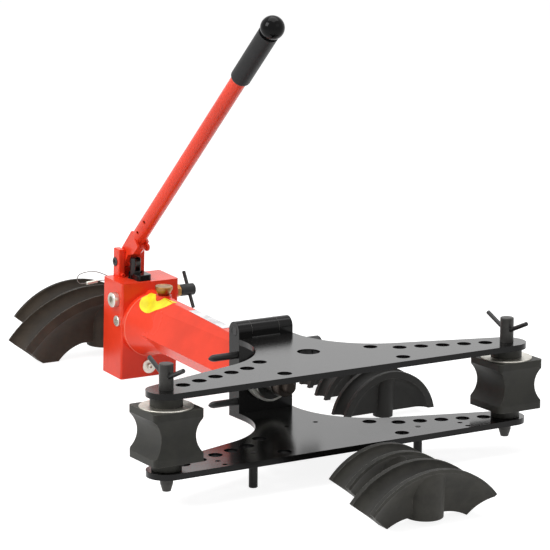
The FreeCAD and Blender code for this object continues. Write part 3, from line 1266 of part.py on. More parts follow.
def pieces():
    """Every piece by the name of its node, in the frame of the floor."""
    half_gap_ear = EAR_GAP / 2
    found = {
        "lower_wing": lean(lower_wing()),
        "upper_wing": lean(upper_wing()),
        "rear_block": lean(rear_block()),
        "hinge_knuckle": lean(hinge_knuckle()),
        "hinge_pin": lean(hinge_pin()),
        "feet": lean(feet()),
        "foot_screws": lean(foot_screws()),
        "retaining_pin_upper": lean(retaining_pin(RETAINER_Z, headed_end())),
        "retaining_pin_lower": lean(retaining_pin(-RETAINER_Z, plain_end())),
        "cylinder_housing": cylinder_housing(),
        "cylinder_gland": cylinder_gland(),
        "rod_wiper": rod_wiper(),
        "ram_rod": ram_rod(),
        "piston_seal": piston_seal(),
        "ram_nose": ram_nose(),
        "pump_block": pump_block(),
        "check_plug_large": check_plug(LARGE_PLUG_Y, LARGE_PLUG_Z, LARGE_PLUG_DIA,
                                       LARGE_PLUG_HEAD, LARGE_PLUG_SOCKET),
        "check_plug_small": check_plug(SMALL_PLUG_Y, SMALL_PLUG_Z, SMALL_PLUG_DIA,
                                       SMALL_PLUG_HEAD, SMALL_PLUG_SOCKET),
        "check_balls": check_balls(),
        "front_washer": front_washer(),
        "front_screw": front_screw(),
        "filler_neck": filler_neck(),
        "filler_cap": filler_cap(),
        "valve_boss": valve_boss(),
        "valve_nut": valve_nut(),
        "valve_stem": valve_stem(),
        "valve_knob": valve_knob(),
        "tommy_bar": tommy_bar(),
        "plunger_gland": plunger_gland(),
        "plunger_seal": plunger_seal(),
        "pump_plunger": pump_plunger(),
        "plunger_pin": plunger_pin(),
        "fulcrum_ear_left": fulcrum_ear(LEVER_X - half_gap_ear,
                                        LEVER_X - half_gap_ear - FULCRUM_EAR_THICK),
        "fulcrum_ear_right": fulcrum_ear(LEVER_X + half_gap_ear,
                                         LEVER_X + half_gap_ear + FULCRUM_EAR_THICK),
        "fulcrum_web": fulcrum_web(),
        "fulcrum_pin": fulcrum_pin(),
        "fulcrum_screw": fulcrum_screw(),
        "lever_holder": lever_holder(),
        "lever_tube": lever_tube(),
        "lever_grip": lever_grip(),
        "lever_ball": lever_ball(),
        "lever_screw": lever_screw(),
        "eye_screw": eye_screw(),
        "lanyard_wire": lanyard_wire(),
        "lanyard_ferrule": lanyard_ferrule(),
    }
    for side, x in (("left", -TIP_X), ("right", TIP_X)):
        found["pivot_pin_" + side] = lean(pivot_pin(x))
        found["pivot_rod_" + side] = lean(bent_rod(x))
        found["angle_block_" + side] = lean(angle_block(x))
        found["block_ring_" + side] = lean(block_ring(x))
    for former in FORMERS:
        found[former.name] = former_shape(former)
    return found


def main():
    """Write one file per piece."""
    os.makedirs("parts", exist_ok=True)
    for name, shape in pieces().items():
        placed = moved(shape, y=CENTRING)
        if not placed.isValid():
            print("not valid:", name)
        placed.exportStep(os.path.join("parts", name + ".step"))
    print("lean %.3f degrees, centring %.2f" % (math.degrees(LEAN), CENTRING))


main()
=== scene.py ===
"""Looks of a hydraulic pipe bender: studio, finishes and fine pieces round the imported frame.

Every length is in metres. X runs across the wings, Y from the wings towards the pump, Z up
from the floor. Each class holds one sub-assembly: its fields are the sizes, and its methods
model the fine pieces and give the frame's nodes their finishes.
"""
import logging
import math
from dataclasses import dataclass, field
from enum import Enum
from typing import Any, Callable, Sequence

import bpy
from mathutils import Matrix, Vector


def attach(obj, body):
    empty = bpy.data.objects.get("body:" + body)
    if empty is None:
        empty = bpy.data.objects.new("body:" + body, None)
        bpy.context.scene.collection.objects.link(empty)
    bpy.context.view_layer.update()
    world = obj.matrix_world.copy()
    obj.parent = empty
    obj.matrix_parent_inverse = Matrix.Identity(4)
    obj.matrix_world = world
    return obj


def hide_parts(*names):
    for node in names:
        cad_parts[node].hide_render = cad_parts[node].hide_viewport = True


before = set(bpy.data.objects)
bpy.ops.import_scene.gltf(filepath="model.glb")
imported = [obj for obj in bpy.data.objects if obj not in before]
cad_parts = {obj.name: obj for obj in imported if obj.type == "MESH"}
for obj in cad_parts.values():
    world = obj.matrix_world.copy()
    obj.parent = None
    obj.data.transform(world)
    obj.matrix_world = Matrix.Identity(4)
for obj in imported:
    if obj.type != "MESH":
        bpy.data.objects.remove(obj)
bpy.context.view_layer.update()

log = logging.getLogger("bender")
Point = tuple[float, float, float]
Colour = tuple[float, float, float]
Range = tuple[float, float]


# ------------------------------------------------------------------ shader maths
class Signal:
    """A node socket that takes part in Python arithmetic."""

    def __init__(self, graph: "Graph", socket: bpy.types.NodeSocket) -> None:
        """Keep the socket and the graph that it belongs to."""
        self.graph = graph
        self.socket = socket

    def __add__(self, other: "Signal | float") -> "Signal":
        """Sum."""
        return self.graph.math("ADD", self, other)

    __radd__ = __add__

    def __mul__(self, other: "Signal | float") -> "Signal":
        """Product."""
        return self.graph.math("MULTIPLY", self, other)

    __rmul__ = __mul__

    def __sub__(self, other: "Signal | float") -> "Signal":
        """Difference."""
        return self.graph.math("SUBTRACT", self, other)

    def __rsub__(self, other: float) -> "Signal":
        """Difference with the number first, such as 1 - mask."""
        return self.graph.math("SUBTRACT", other, self)

    def step(self, low: float, high: float) -> "Signal":
        """Smooth mask that rises from 0 at low to 1 at high.

        Args:
            low: value at which the mask starts.
            high: value at which the mask is full; below low the mask falls instead.

        Returns:
            The mask, from 0 to 1.
        """
        rising = high > low
        ends = (low, high) if rising else (high, low)
        node = self.graph.node("ShaderNodeMapRange", {"interpolation_type": "SMOOTHSTEP"},
                               {"Value": self, "From Min": ends[0], "From Max": ends[1]})
        mask = self.graph.out(node, "Result")
        return mask if rising else 1 - mask

    def spread(self, low: float, high: float) -> "Signal":
        """Value from 0 to 1 turned into one from low to high."""
        return self * (high - low) + low


class Graph:
    """The nodes of one material."""

    EDGE_SAMPLES = 6

    def __init__(self, name: str) -> None:
        """Start a material with an empty node tree and its output.

        Args:
            name: the material's name.
        """
        self.material = bpy.data.materials.new(name)
        self.material.use_nodes = True
        self.tree = self.material.node_tree
        self.tree.nodes.clear()
        self.end = self.tree.nodes.new("ShaderNodeOutputMaterial")

    def node(self, kind: str, settings: dict[str, Any] | None = None,
             inputs: dict[Any, Any] | None = None) -> bpy.types.Node:
        """Add a node.

        Args:
            kind: the node's type.
            settings: properties, which are set first.
            inputs: socket name or number to a value or a Signal.

        Returns:
            The new node.
        """
        made = self.tree.nodes.new(kind)
        for key, value in (settings or {}).items():
            setattr(made, key, value)
        for key, value in (inputs or {}).items():
            if isinstance(value, Signal):
                self.tree.links.new(value.socket, made.inputs[key])
            else:
                made.inputs[key].default_value = value
        return made

    def out(self, node: bpy.types.Node, name: str | int) -> Signal:
        """One output of a node as a Signal."""
        return Signal(self, node.outputs[name])

    def math(self, operation: str, first: Signal | float, second: Signal | float = 0.0) -> Signal:
        """Result of a Math node."""
        node = self.node("ShaderNodeMath", {"operation": operation}, {0: first, 1: second})
        return self.out(node, 0)

    def place(self) -> Signal:
        """Object coordinates, in metres."""
        return self.out(self.node("ShaderNodeTexCoord"), "Object")

    def axis(self, name: str) -> Signal:
        """One of the object coordinates.

        Args:
            name: X, Y or Z.

        Returns:
            The coordinate, in metres.
        """
        split = self.node("ShaderNodeSeparateXYZ", None, {0: self.place()})
        return self.out(split, name)

    def stretched(self, scale: Point) -> Signal:
        """Object coordinates multiplied along each axis."""
        node = self.node("ShaderNodeVectorMath", {"operation": "MULTIPLY"},
                         {0: self.place(), 1: scale})
        return self.out(node, "Vector")

    def noise(self, scale: float, detail: float = 3.0, rough: float = 0.55,
              stretch: Point = (1.0, 1.0, 1.0)) -> Signal:
        """Cloudy noise from about 0.2 to 0.8.

        Args:
            scale: clouds per metre.
            detail: number of finer layers.
            rough: share of the finer layers.
            stretch: factor on each axis.

        Returns:
            The noise's value.
        """
        node = self.node("ShaderNodeTexNoise", None,
                         {"Vector": self.stretched(stretch), "Scale": scale,
                          "Detail": detail, "Roughness": rough})
        return self.out(node, 0)

    def cells(self, scale: float) -> Signal:
        """Distance to the nearest of many scattered points, from 0 to about 1."""
        node = self.node("ShaderNodeTexVoronoi", None,
                         {"Vector": self.place(), "Scale": scale})
        return self.out(node, "Distance")

    def blend(self, factor: Signal | float, low: Any, high: Any) -> Signal:
        """Colour between two others.

        Args:
            factor: 0 gives low, 1 gives high.
            low: colour or Signal.
            high: colour or Signal.

        Returns:
            The mixed colour.
        """
        node = self.node("ShaderNodeMix", {"data_type": "RGBA"})
        for index, value in ((0, factor), (6, low), (7, high)):
            if isinstance(value, Signal):
                self.tree.links.new(value.socket, node.inputs[index])
            else:
                node.inputs[index].default_value = value if index == 0 else (*value, 1.0)
        return self.out(node, 2)

    def edges(self, radius: float, low: float, high: float) -> Signal:
        """Mask of the sharp edges.

        Args:
            radius: how far from an edge it is felt.
            low: bend at which the mask starts.
            high: bend at which the mask is full.

        Returns:
            The mask, from 0 to 1.
        """
        surface = self.node("ShaderNodeNewGeometry")
        product = self.node("ShaderNodeVectorMath", {"operation": "DOT_PRODUCT"},
                            {0: self.soft_edges(radius), 1: self.out(surface, "Normal")})
        return (1 - self.out(product, "Value")).step(low, high)

    def upward(self, low: float, high: float) -> Signal:
        """Mask of the faces that look up.

        Args:
            low: upward share of the normal at which the mask starts.
            high: upward share at which it is full.

        Returns:
            The mask, from 0 to 1.
        """
        surface = self.node("ShaderNodeNewGeometry")
        split = self.node("ShaderNodeSeparateXYZ", None, {0: self.out(surface, "Normal")})
        return self.out(split, "Z").step(low, high)

    def bump(self, height: Signal, distance: float, strength: float = 1.0,
             normal: Signal | None = None) -> Signal:
        """Normal of a surface with small heights on it.

        Args:
            height: the relief, from 0 to 1.
            distance: its depth, in metres.
            strength: share of the effect.
            normal: normal that it adds to.

        Returns:
            The new normal.
        """
        inputs: dict[Any, Any] = {"Height": height, "Distance": distance, "Strength": strength}
        if normal is not None:
            inputs["Normal"] = normal
        return self.out(self.node("ShaderNodeBump", None, inputs), 0)

    def soft_edges(self, radius: float) -> Signal:
        """Normal that runs round the sharp edges, as paint and broken edges do."""
        settings = {"samples": self.EDGE_SAMPLES}
        return self.out(self.node("ShaderNodeBevel", settings, {"Radius": radius}), 0)

    def shade(self, **inputs: Any) -> bpy.types.Material:
        """Close the material with a Principled BSDF.

        Args:
            **inputs: sockets of the shader, with _ for a space in their names.

        Returns:
            The finished material.
        """
        values = {key.replace("_", " "): value for key, value in inputs.items()}
        shader = self.node("ShaderNodeBsdfPrincipled", None, values)
        self.tree.links.new(shader.outputs[0], self.end.inputs["Surface"])
        return self.material


# ------------------------------------------------------------------ finishes
class Lay(Enum):
    """Direction in which a metal surface is streaked: factors on the noise's axes."""

    ALONG_Y = (1.0, 0.02, 1.0)
    TURNED_X = (1.0, 0.02, 0.02)
    TURNED_Y = (0.02, 1.0, 0.02)
    TURNED_Z = (0.02, 0.02, 1.0)
    EVEN = (1.0, 1.0, 1.0)


TOOL_MARKS = 1500.0  # streaks per metre that a cutting tool leaves


def scaled(colour: Colour, factor: float, lift: float = 0.0) -> Colour:
    """Colour multiplied by a factor, with a little added, and never over 1."""
    return tuple(min(1.0, factor * channel + lift) for channel in colour)


@dataclass(frozen=True)
class BareRegion:
    """Box in which a painted piece is left as bare metal, such as a turned spigot."""

    low: Point
    high: Point
    metal: Colour
    lay: Lay
    border: float = 0.0004
    ragged: float = 0.0012
    ragged_scale: float = 220.0

    def mask(self, g: Graph) -> Signal:
        """Mask of the box, with a slightly ragged border.

        Args:
            g: graph of the material.

        Returns:
            1 inside the box, 0 outside.
        """
        ragged = g.noise(self.ragged_scale, 2.0) * self.ragged - self.ragged / 2
        inside: Signal | None = None
        for axis, low, high in zip("XYZ", self.low, self.high):
            along = g.axis(axis) + ragged
            after = along.step(low - self.border, low + self.border)
            before = along.step(high + self.border, high - self.border)
            inside = after * before if inside is None else inside * after * before
        return inside


@dataclass(frozen=True)
class GlossPaint:
    """Sprayed gloss paint with orange peel, faint dust, and lighter edges that are partly chipped
    paint and partly painted highlight.
    """

    name: str
    colour: Colour
    dust_chip_and_highlight_colour: Colour
    rough: float = 0.2
    specular: float = 0.3
    peel: float = 0.00004
    edge_wear_and_highlight: float = 0.5
    edge: float = 0.0006
    dust: float = 0.06
    bare: BareRegion | None = None
    cloud_scale: float = 9.0
    edge_mark_scale: float = 160.0
    speck_scale: float = 700.0
    peel_scale: float = 420.0
    edge_mark_bend: Range = (0.06, 0.26)
    edge_mark_reach: float = 1.4
    edge_mark_rough: float = 0.3
    bare_rough: float = 0.2
    bare_metallic: float = 0.8

    def make(self) -> bpy.types.Material:
        """Build the material.

        Returns:
            The material.
        """
        g = Graph(self.name)
        cloud = g.noise(self.cloud_scale, 4.0)
        colour = g.blend(cloud.step(0.3, 0.7), scaled(self.colour, 0.9),
                         scaled(self.colour, 1.1, 0.002))
        # Lighter edges: partly chipped paint, partly painted highlight along the edges.
        edge_mark_spread = g.noise(self.edge_mark_scale, 5.0, 0.65).step(0.46, 0.62)
        edge_chips_and_highlight = g.edges(self.edge_mark_reach * self.edge, *self.edge_mark_bend) * edge_mark_spread * self.edge_wear_and_highlight
        specks = g.noise(self.speck_scale, 2.0).step(0.7, 0.76) * self.dust
        colour = g.blend(edge_chips_and_highlight, g.blend(specks, colour, self.dust_chip_and_highlight_colour), self.dust_chip_and_highlight_colour)
        rough = cloud.spread(0.85 * self.rough, 1.15 * self.rough)
        rough = rough + edge_chips_and_highlight * self.edge_mark_rough + specks
        normal = g.bump(g.noise(self.peel_scale, 1.0), self.peel, 1.0, g.soft_edges(self.edge))
        metallic: Signal | float = 0.0
        if self.bare:
            bare = self.bare.mask(g)
            rings = g.noise(TOOL_MARKS, 3.0, 0.7, self.bare.lay.value).step(0.4, 0.7)
            metal = g.blend(rings, self.bare.metal, scaled(self.bare.metal, 0.5))
            colour = g.blend(bare, colour, metal)
            rough = rough + bare * self.bare_rough
            metallic = bare * self.bare_metallic
        return g.shade(Base_Color=colour, Roughness=rough, Normal=normal, Metallic=metallic,
                       Specular_IOR_Level=self.specular)


@dataclass(frozen=True)
class CastIron:
    """Sand-cast iron under a thin dull paint: grainy, lighter on its ridges as wear and painted
    highlight, with painted shade on the faces that look up.
    """

    name: str
    colour: Colour
    ridge: Colour
    rough: float = 0.62
    grain: float = 0.00016
    painted_top_shade: float = 0.85
    specular: float = 0.3
    cloud_scale: float = 28.0
    pit_scale: float = 900.0
    rub_and_highlight_scale: float = 130.0
    grain_scale: float = 620.0
    lump_scale: float = 110.0
    ridge_radius: float = 0.0018
    ridge_bend: Range = (0.015, 0.16)
    edge: float = 0.0011

    def make(self) -> bpy.types.Material:
        """Build the material.

        Returns:
            The material.
        """
        g = Graph(self.name)
        dark = scaled(self.colour, 0.72)
        cloud = g.noise(self.cloud_scale, 4.0)
        colour = g.blend(cloud.step(0.32, 0.68), dark, scaled(self.colour, 1.25))
        pits = g.noise(self.pit_scale, 3.0, 0.7).step(0.58, 0.72)
        colour = g.blend(pits * 0.35, colour, dark)
        # Lighter ridges: partly wear, partly painted highlight on the edges.
        rub_and_highlight = g.noise(self.rub_and_highlight_scale, 4.0, 0.6).step(0.36, 0.6)
        ridges = g.edges(self.ridge_radius, *self.ridge_bend) * rub_and_highlight
        # Painted shade: the faces that look up are darkened towards a darker iron colour.
        colour = g.blend(g.upward(0.3, 0.8) * self.painted_top_shade, colour, scaled(dark, 0.3))
        colour = g.blend(ridges * 0.75, colour, self.ridge)
        rough = cloud.spread(self.rough - 0.08, self.rough + 0.08) - ridges * 0.15
        relief = g.noise(self.grain_scale, 4.0, 0.65) * 0.7 + g.noise(self.lump_scale, 3.0) * 1.2
        normal = g.bump(relief, self.grain, 1.0, g.soft_edges(self.edge))
        return g.shade(Base_Color=colour, Roughness=rough, Normal=normal,
                       Specular_IOR_Level=self.specular)


@dataclass(frozen=True)
class BareMetal:
    """Turned, plated, blackened or polished metal with its tool marks and handling marks."""

    name: str
    colour: Colour
    stain: Colour
    rough: float
    lay: Lay = Lay.EVEN
    metal: float = 1.0
    marks: float = 0.00001
    speckle: float = 0.0
    shine: Colour | None = None
    cloud_scale: float = 55.0
    spot_scale: float = 700.0
    patch_scale: float = 240.0
    shine_radius: float = 0.0009
    shine_bend: Range = (0.03, 0.25)
    edge: float = 0.0005

    def make(self) -> bpy.types.Material:
        """Build the material.

        Returns:
            The material.
        """
        g = Graph(self.name)
        cloud = g.noise(self.cloud_scale, 4.0, 0.6)
        lines = g.noise(TOOL_MARKS, 3.0, 0.7, self.lay.value)
        colour = g.blend(cloud.step(0.35, 0.72) * 0.7, self.colour, self.stain)
        colour = g.blend(lines.step(0.5, 0.75) * 0.25, colour, self.stain)
        if self.speckle:
            patches = g.noise(self.patch_scale).step(0.4, 0.6)
            spots = g.cells(self.spot_scale).step(0.42, 0.2) * patches
            colour = g.blend(spots * self.speckle, colour, self.stain)
        if self.shine:
            shiny = g.edges(self.shine_radius, *self.shine_bend)
            colour = g.blend(shiny * 0.8, colour, self.shine)
        rough = cloud.spread(0.8 * self.rough, 1.3 * self.rough) + lines * 0.06
        normal = g.bump(lines, self.marks, 1.0, g.soft_edges(self.edge))
        return g.shade(Base_Color=colour, Roughness=rough, Normal=normal, Metallic=self.metal)


@dataclass(frozen=True)
class RimmedMetal:
    """Turned ring whose outer rim is bright metal, while its face inside the rim is painted dark
    as shade.
    """

    name: str
    rim: Colour
    face: Colour
    radius: float
    centre_z: float
    rough: float = 0.32
    border: float = 0.0003
    stain_scale: float = 90.0
    marks: float = 0.00001
    edge: float = 0.0005
    metal: Range = (0.3, 0.9)

    def make(self) -> bpy.types.Material:
        """Build the material.

        Returns:
            The material.
        """
        g = Graph(self.name)
        across = g.axis("X")
        height = g.axis("Z") - self.centre_z
        distance = g.math("SQRT", across * across + height * height)
        outer = distance.step(self.radius - self.border, self.radius + self.border)
        rings = g.noise(TOOL_MARKS, 3.0, 0.7, Lay.TURNED_Y.value)
        stain = g.noise(self.stain_scale, 4.0, 0.6).step(0.4, 0.7)
        bright = g.blend(rings.step(0.5, 0.75) * 0.3, self.rim, scaled(self.rim, 0.6))
        # Painted shade: the face inside the rim is kept nearly black, with a little stain on it.
        dull = g.blend(stain, self.face, scaled(self.face, 1.8))
        rough = stain.spread(self.rough, self.rough + 0.15) + (1 - outer) * 0.15
        normal = g.bump(rings, self.marks, 1.0, g.soft_edges(self.edge))
        return g.shade(Base_Color=g.blend(outer, dull, bright), Roughness=rough,
                       Metallic=outer.spread(*self.metal), Normal=normal)


@dataclass(frozen=True)
class Moulded:
    """Moulded rubber or plastic with a fine grain and handling sheen."""

    name: str
    colour: Colour
    rough: float
    grain_scale: float = 1400.0
    grain: float = 0.00005
    specular: float = 0.5
    cloud_scale: float = 40.0

    def make(self) -> bpy.types.Material:
        """Build the material.

        Returns:
            The material.
        """
        g = Graph(self.name)
        cloud = g.noise(self.cloud_scale, 3.0)
        colour = g.blend(cloud.step(0.35, 0.75), self.colour, scaled(self.colour, 1.5, 0.002))
        rough = cloud.spread(self.rough - 0.05, self.rough + 0.07)
        normal = g.bump(g.noise(self.grain_scale, 2.0), self.grain, 1.0)
        return g.shade(Base_Color=colour, Roughness=rough, Normal=normal,
                       Specular_IOR_Level=self.specular)


class Finish(Enum):
    """Finishes of the bender, each made once."""

    BLACK_PAINT = GlossPaint("black_gloss_paint", (0.0045, 0.0043, 0.0042), (0.06, 0.056, 0.05),
                             rough=0.17, specular=0.2, edge_wear_and_highlight=0.45)
    RED_PAINT = GlossPaint("red_gloss_paint", (0.84, 0.05, 0.016), (0.95, 0.2, 0.11),
                           rough=0.26, specular=0.28, edge_wear_and_highlight=0.35, edge=0.0009)
    # Painted highlight: a lighter red for the bead round the pump bell, which stands for the
    # light on the bell's rim.
    RED_EDGE = GlossPaint("red_highlight_paint", (0.93, 0.16, 0.09), (0.97, 0.4, 0.3),
                          rough=0.2, specular=0.4, edge_wear_and_highlight=0.3)
    HOUSING = GlossPaint("housing_paint", (0.84, 0.05, 0.016), (0.95, 0.2, 0.11),
                         rough=0.26, specular=0.28, edge_wear_and_highlight=0.35, edge=0.0009,
                         bare=BareRegion((-0.1, -0.2, 0.0), (0.1, -0.083, 0.2),
                                         (0.62, 0.61, 0.57), Lay.TURNED_Y))
    HOLDER = GlossPaint("holder_paint", (0.84, 0.05, 0.016), (0.95, 0.2, 0.11),
                        rough=0.26, specular=0.28, edge_wear_and_highlight=0.45, edge=0.0009,
                        bare=BareRegion((-0.0156, 0.27, 0.17), (-0.0064, 0.3025, 0.1965),
                                        (0.06, 0.058, 0.055), Lay.ALONG_Y))
    FORMER_IRON = CastIron("former_cast_iron", (0.052, 0.05, 0.043), (0.17, 0.165, 0.145))
    FORMER_BROWN = CastIron("former_brown_iron", (0.04, 0.03, 0.021), (0.14, 0.11, 0.085))
    FORMER_DARK = CastIron("former_dark_iron", (0.014, 0.0135, 0.012), (0.09, 0.087, 0.075))
    BLOCK_STEEL = CastIron("block_forged_steel", (0.02, 0.0196, 0.0155), (0.085, 0.082, 0.067),
                           rough=0.52, grain=0.00008, painted_top_shade=0.2)
    ZINC = BareMetal("zinc_coat", (0.66, 0.64, 0.58), (0.4, 0.38, 0.33), 0.34,
                     marks=0.00002, speckle=0.8)
    BRASS = BareMetal("turned_brass", (0.36, 0.195, 0.064), (0.17, 0.083, 0.028), 0.3,
                      Lay.TURNED_Z, marks=0.000012, shine=(0.62, 0.4, 0.19))
    NUT_BRASS = BareMetal("nut_brass", (0.55, 0.29, 0.1), (0.3, 0.14, 0.05), 0.3,
                          Lay.TURNED_X, marks=0.000012, shine=(0.85, 0.6, 0.32))
    BLACK_STEEL = BareMetal("blackened_steel", (0.022, 0.022, 0.022), (0.012, 0.012, 0.012), 0.4,
                            metal=0.4, shine=(0.12, 0.12, 0.115))
    PIN_STEEL = BareMetal("pin_steel", (0.05, 0.048, 0.045), (0.028, 0.027, 0.025), 0.42,
                          Lay.TURNED_Z, metal=0.5, shine=(0.2, 0.195, 0.185))
    BRIGHT_STEEL = BareMetal("polished_steel", (0.62, 0.61, 0.6), (0.42, 0.42, 0.41), 0.2,
                             Lay.TURNED_Y)
    RAM_STEEL = BareMetal("ram_steel", (0.2, 0.2, 0.19), (0.1, 0.1, 0.095), 0.25, Lay.TURNED_Y)
    NOSE_IRON = BareMetal("nose_iron", (0.05, 0.036, 0.027), (0.026, 0.02, 0.016), 0.48,
                          Lay.TURNED_Y, metal=0.3, shine=(0.16, 0.125, 0.1))
    GLAND = RimmedMetal("turned_gland", (0.3, 0.295, 0.28), (0.02, 0.021, 0.018), 0.0302, 0.09665)
    WIRE = BareMetal("wire_steel", (0.2, 0.195, 0.185), (0.1, 0.098, 0.09), 0.4, metal=0.7)
    RUBBER = Moulded("black_rubber", (0.011, 0.011, 0.011), 0.62)
    GRIP = Moulded("moulded_grip", (0.006, 0.006, 0.0065), 0.44, 900.0, 0.0001, 0.26)
    BALL = Moulded("polished_ball", (0.002, 0.002, 0.0022), 0.14, 300.0, 0.000015, 0.12)
    WHITE_FILM = Moulded("white_film", (0.6, 0.605, 0.61), 0.35, 500.0, 0.00001)
    YELLOW_FILM = Moulded("yellow_film", (0.82, 0.72, 0.02), 0.35, 500.0, 0.00001)

    def material(self) -> bpy.types.Material:
        """The finish's material, made when it is first used."""
        known = bpy.data.materials.get(self.value.name)
        return known or self.value.make()


def dress(finish: Finish, *nodes: str) -> None:
    """Give nodes of the frame a finish.

    Args:
        finish: the finish.
        *nodes: names of the nodes.
    """
    material = finish.material()
    for name in nodes:
        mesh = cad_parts[name].data
        mesh.materials.clear()
        mesh.materials.append(material)


# ------------------------------------------------------------------ modelling by hand
class Bench:
    """The operators that shape a piece, with the selection made in code."""

    MERGE_DISTANCE = 1e-6

    @staticmethod
    def object_mode() -> None:
        """Leave edit mode if it is on."""
        if bpy.context.mode != "OBJECT":
            bpy.ops.object.mode_set(mode="OBJECT")

    @staticmethod
    def start(kind: str, **settings: Any) -> bpy.types.Object:
        """Add a primitive with nothing else selected.

        Args:
            kind: last part of the operator's name, such as cylinder.
            **settings: size, place and segments of the primitive.

        Returns:
            The new object.
        """
        Bench.object_mode()
        bpy.ops.object.select_all(action="DESELECT")
        getattr(bpy.ops.mesh, f"primitive_{kind}_add")(**settings)
        return bpy.context.object

    @staticmethod
    def pick(piece: bpy.types.Object, test: Callable[[Vector, Vector], bool]) -> None:
        """Open a piece in edit mode with the faces that pass a test selected.

        Args:
            piece: the object.
            test: takes a face's centre and normal.
        """
        Bench.object_mode()
        Bench.only(piece)
        bpy.ops.object.mode_set(mode="EDIT")
        bpy.ops.mesh.select_mode(type="FACE")
        bpy.ops.mesh.select_all(action="DESELECT")
        bpy.ops.object.mode_set(mode="OBJECT")
        for face in piece.data.polygons:
            face.select = test(face.center, face.normal)
        bpy.ops.object.mode_set(mode="EDIT")

    @staticmethod
    def only(piece: bpy.types.Object) -> None:
        """Select one object and make it the active one.

        Args:
            piece: the object.
        """
        bpy.ops.object.select_all(action="DESELECT")
        piece.select_set(True)
        bpy.context.view_layer.objects.active = piece

    @staticmethod
    def close(piece: bpy.types.Object, name: str, smooth: float = 35.0) -> bpy.types.Object:
        """End the work on a piece: place into its mesh, normals outwards, soft shading.

        Args:
            piece: the object.
            name: its name.
            smooth: largest angle between faces that are shaded as one, in degrees.

        Returns:
            The object.
        """
        Bench.object_mode()
        Bench.only(piece)
        bpy.ops.object.transform_apply(location=True, rotation=True, scale=True)
        bpy.ops.object.mode_set(mode="EDIT")
        bpy.ops.mesh.select_all(action="SELECT")
        bpy.ops.mesh.remove_doubles(threshold=Bench.MERGE_DISTANCE)
        bpy.ops.mesh.normals_make_consistent(inside=False)
        bpy.ops.object.mode_set(mode="OBJECT")
        bpy.ops.object.shade_smooth_by_angle(angle=math.radians(smooth))
        piece.name = piece.data.name = name
        return piece

    @staticmethod
    def modify(piece: bpy.types.Object, kind: str, **settings: Any) -> None:
        """Add a modifier and apply it at once.

        Args:
            piece: the object.
            kind: the modifier's type.
            **settings: its properties.
        """
        Bench.only(piece)
        modifier = piece.modifiers.new(kind.lower(), kind)
        for key, value in settings.items():
            setattr(modifier, key, value)
        bpy.ops.object.modifier_apply(modifier=modifier.name)

    @staticmethod
    def lathe(steps: Sequence[tuple[float, float]], vertices: int) -> bpy.types.Object:
        """Round piece about Z, drawn upwards from a disc by extruding and resizing.

        Args:
            steps: radius and height of each ring, from the first to the last.
            vertices: points round each ring.

        Returns:
            The object.
        """
        radius, height = steps[0]
        piece = Bench.start("circle", vertices=vertices, radius=radius, fill_type="NGON",
                            location=(0.0, 0.0, height))
        Bench.pick(piece, lambda centre, normal: True)
        for wide, high in steps[1:]:
            bpy.ops.mesh.extrude_region_move(
                TRANSFORM_OT_translate={"value": (0.0, 0.0, high - height)})
            bpy.ops.transform.resize(value=(wide / radius, wide / radius, 1.0))
            radius, height = wide, high
        bpy.ops.object.mode_set(mode="OBJECT")
        return piece

    @staticmethod
    def twin(piece: bpy.types.Object, matrix: Matrix) -> bpy.types.Object:
        """Copy a piece with its own mesh.

        Args:
            piece: the object.
            matrix: movement of the copy.

        Returns:
            The copy.
        """
        copy = piece.copy()
        copy.data = piece.data.copy()
        copy.data.transform(matrix)
        bpy.context.scene.collection.objects.link(copy)
        return copy

    @staticmethod
    def merge(pieces: Sequence[bpy.types.Object]) -> bpy.types.Object:
        """Join several pieces.

        Args:
            pieces: the objects.

        Returns:
            The first of them, which now holds all.
        """
        bpy.ops.object.select_all(action="DESELECT")
        for piece in pieces:
            piece.select_set(True)
        bpy.context.view_layer.objects.active = pieces[0]
        bpy.ops.object.join()
        return pieces[0]

    @staticmethod
    def hand_over(piece: bpy.types.Object, finish: Finish, slot: str, body: str) -> None:
        """Give a piece its finish and its body.

        Args:
            piece: the object.
            finish: its finish.
            slot: name of a material slot; not used.
            body: body that it rides on.
        """
        piece.data.materials.clear()
        piece.data.materials.append(finish.material())
        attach(piece, body)
        log.info("piece %s rides on %s", piece.name, body)


# ------------------------------------------------------------------ small pieces
@dataclass
class WeldBead:
    """A rippled weld bead along a straight seam."""

    name: str
    start: Point
    end: Point
    radius: float
    finish: Finish
    slot: str
    ripple: float = 0.0016
    flatness: float = 0.85
    wander: float = 0.12
    wander_step: float = 2.4
    voxels: int = 5

    def build(self, body: str) -> None:
        """Lay overlapping drops along the seam and melt them into one bead.

        Args:
            body: body that the bead rides on.
        """
        start, end = Vector(self.start), Vector(self.end)
        count = max(2, round((end - start).length / self.ripple))
        drop = Bench.start("uv_sphere", segments=16, ring_count=10, radius=self.radius,
                           location=self.start)
        bpy.ops.transform.resize(value=(1.0, 1.0, self.flatness))
        Bench.close(drop, self.name)
        drops = [drop]
        for index in range(1, count + 1):
            aside = math.sin(index * self.wander_step) * self.wander * self.radius
            place = (end - start) * (index / count) + Vector((0.0, aside, aside))
            drops.append(Bench.twin(drop, Matrix.Translation(place)))
        bead = Bench.merge(drops)
        Bench.modify(bead, "REMESH", mode="VOXEL", voxel_size=self.radius / self.voxels)
        Bench.close(bead, self.name, 60.0)
        Bench.hand_over(bead, self.finish, self.slot, body)


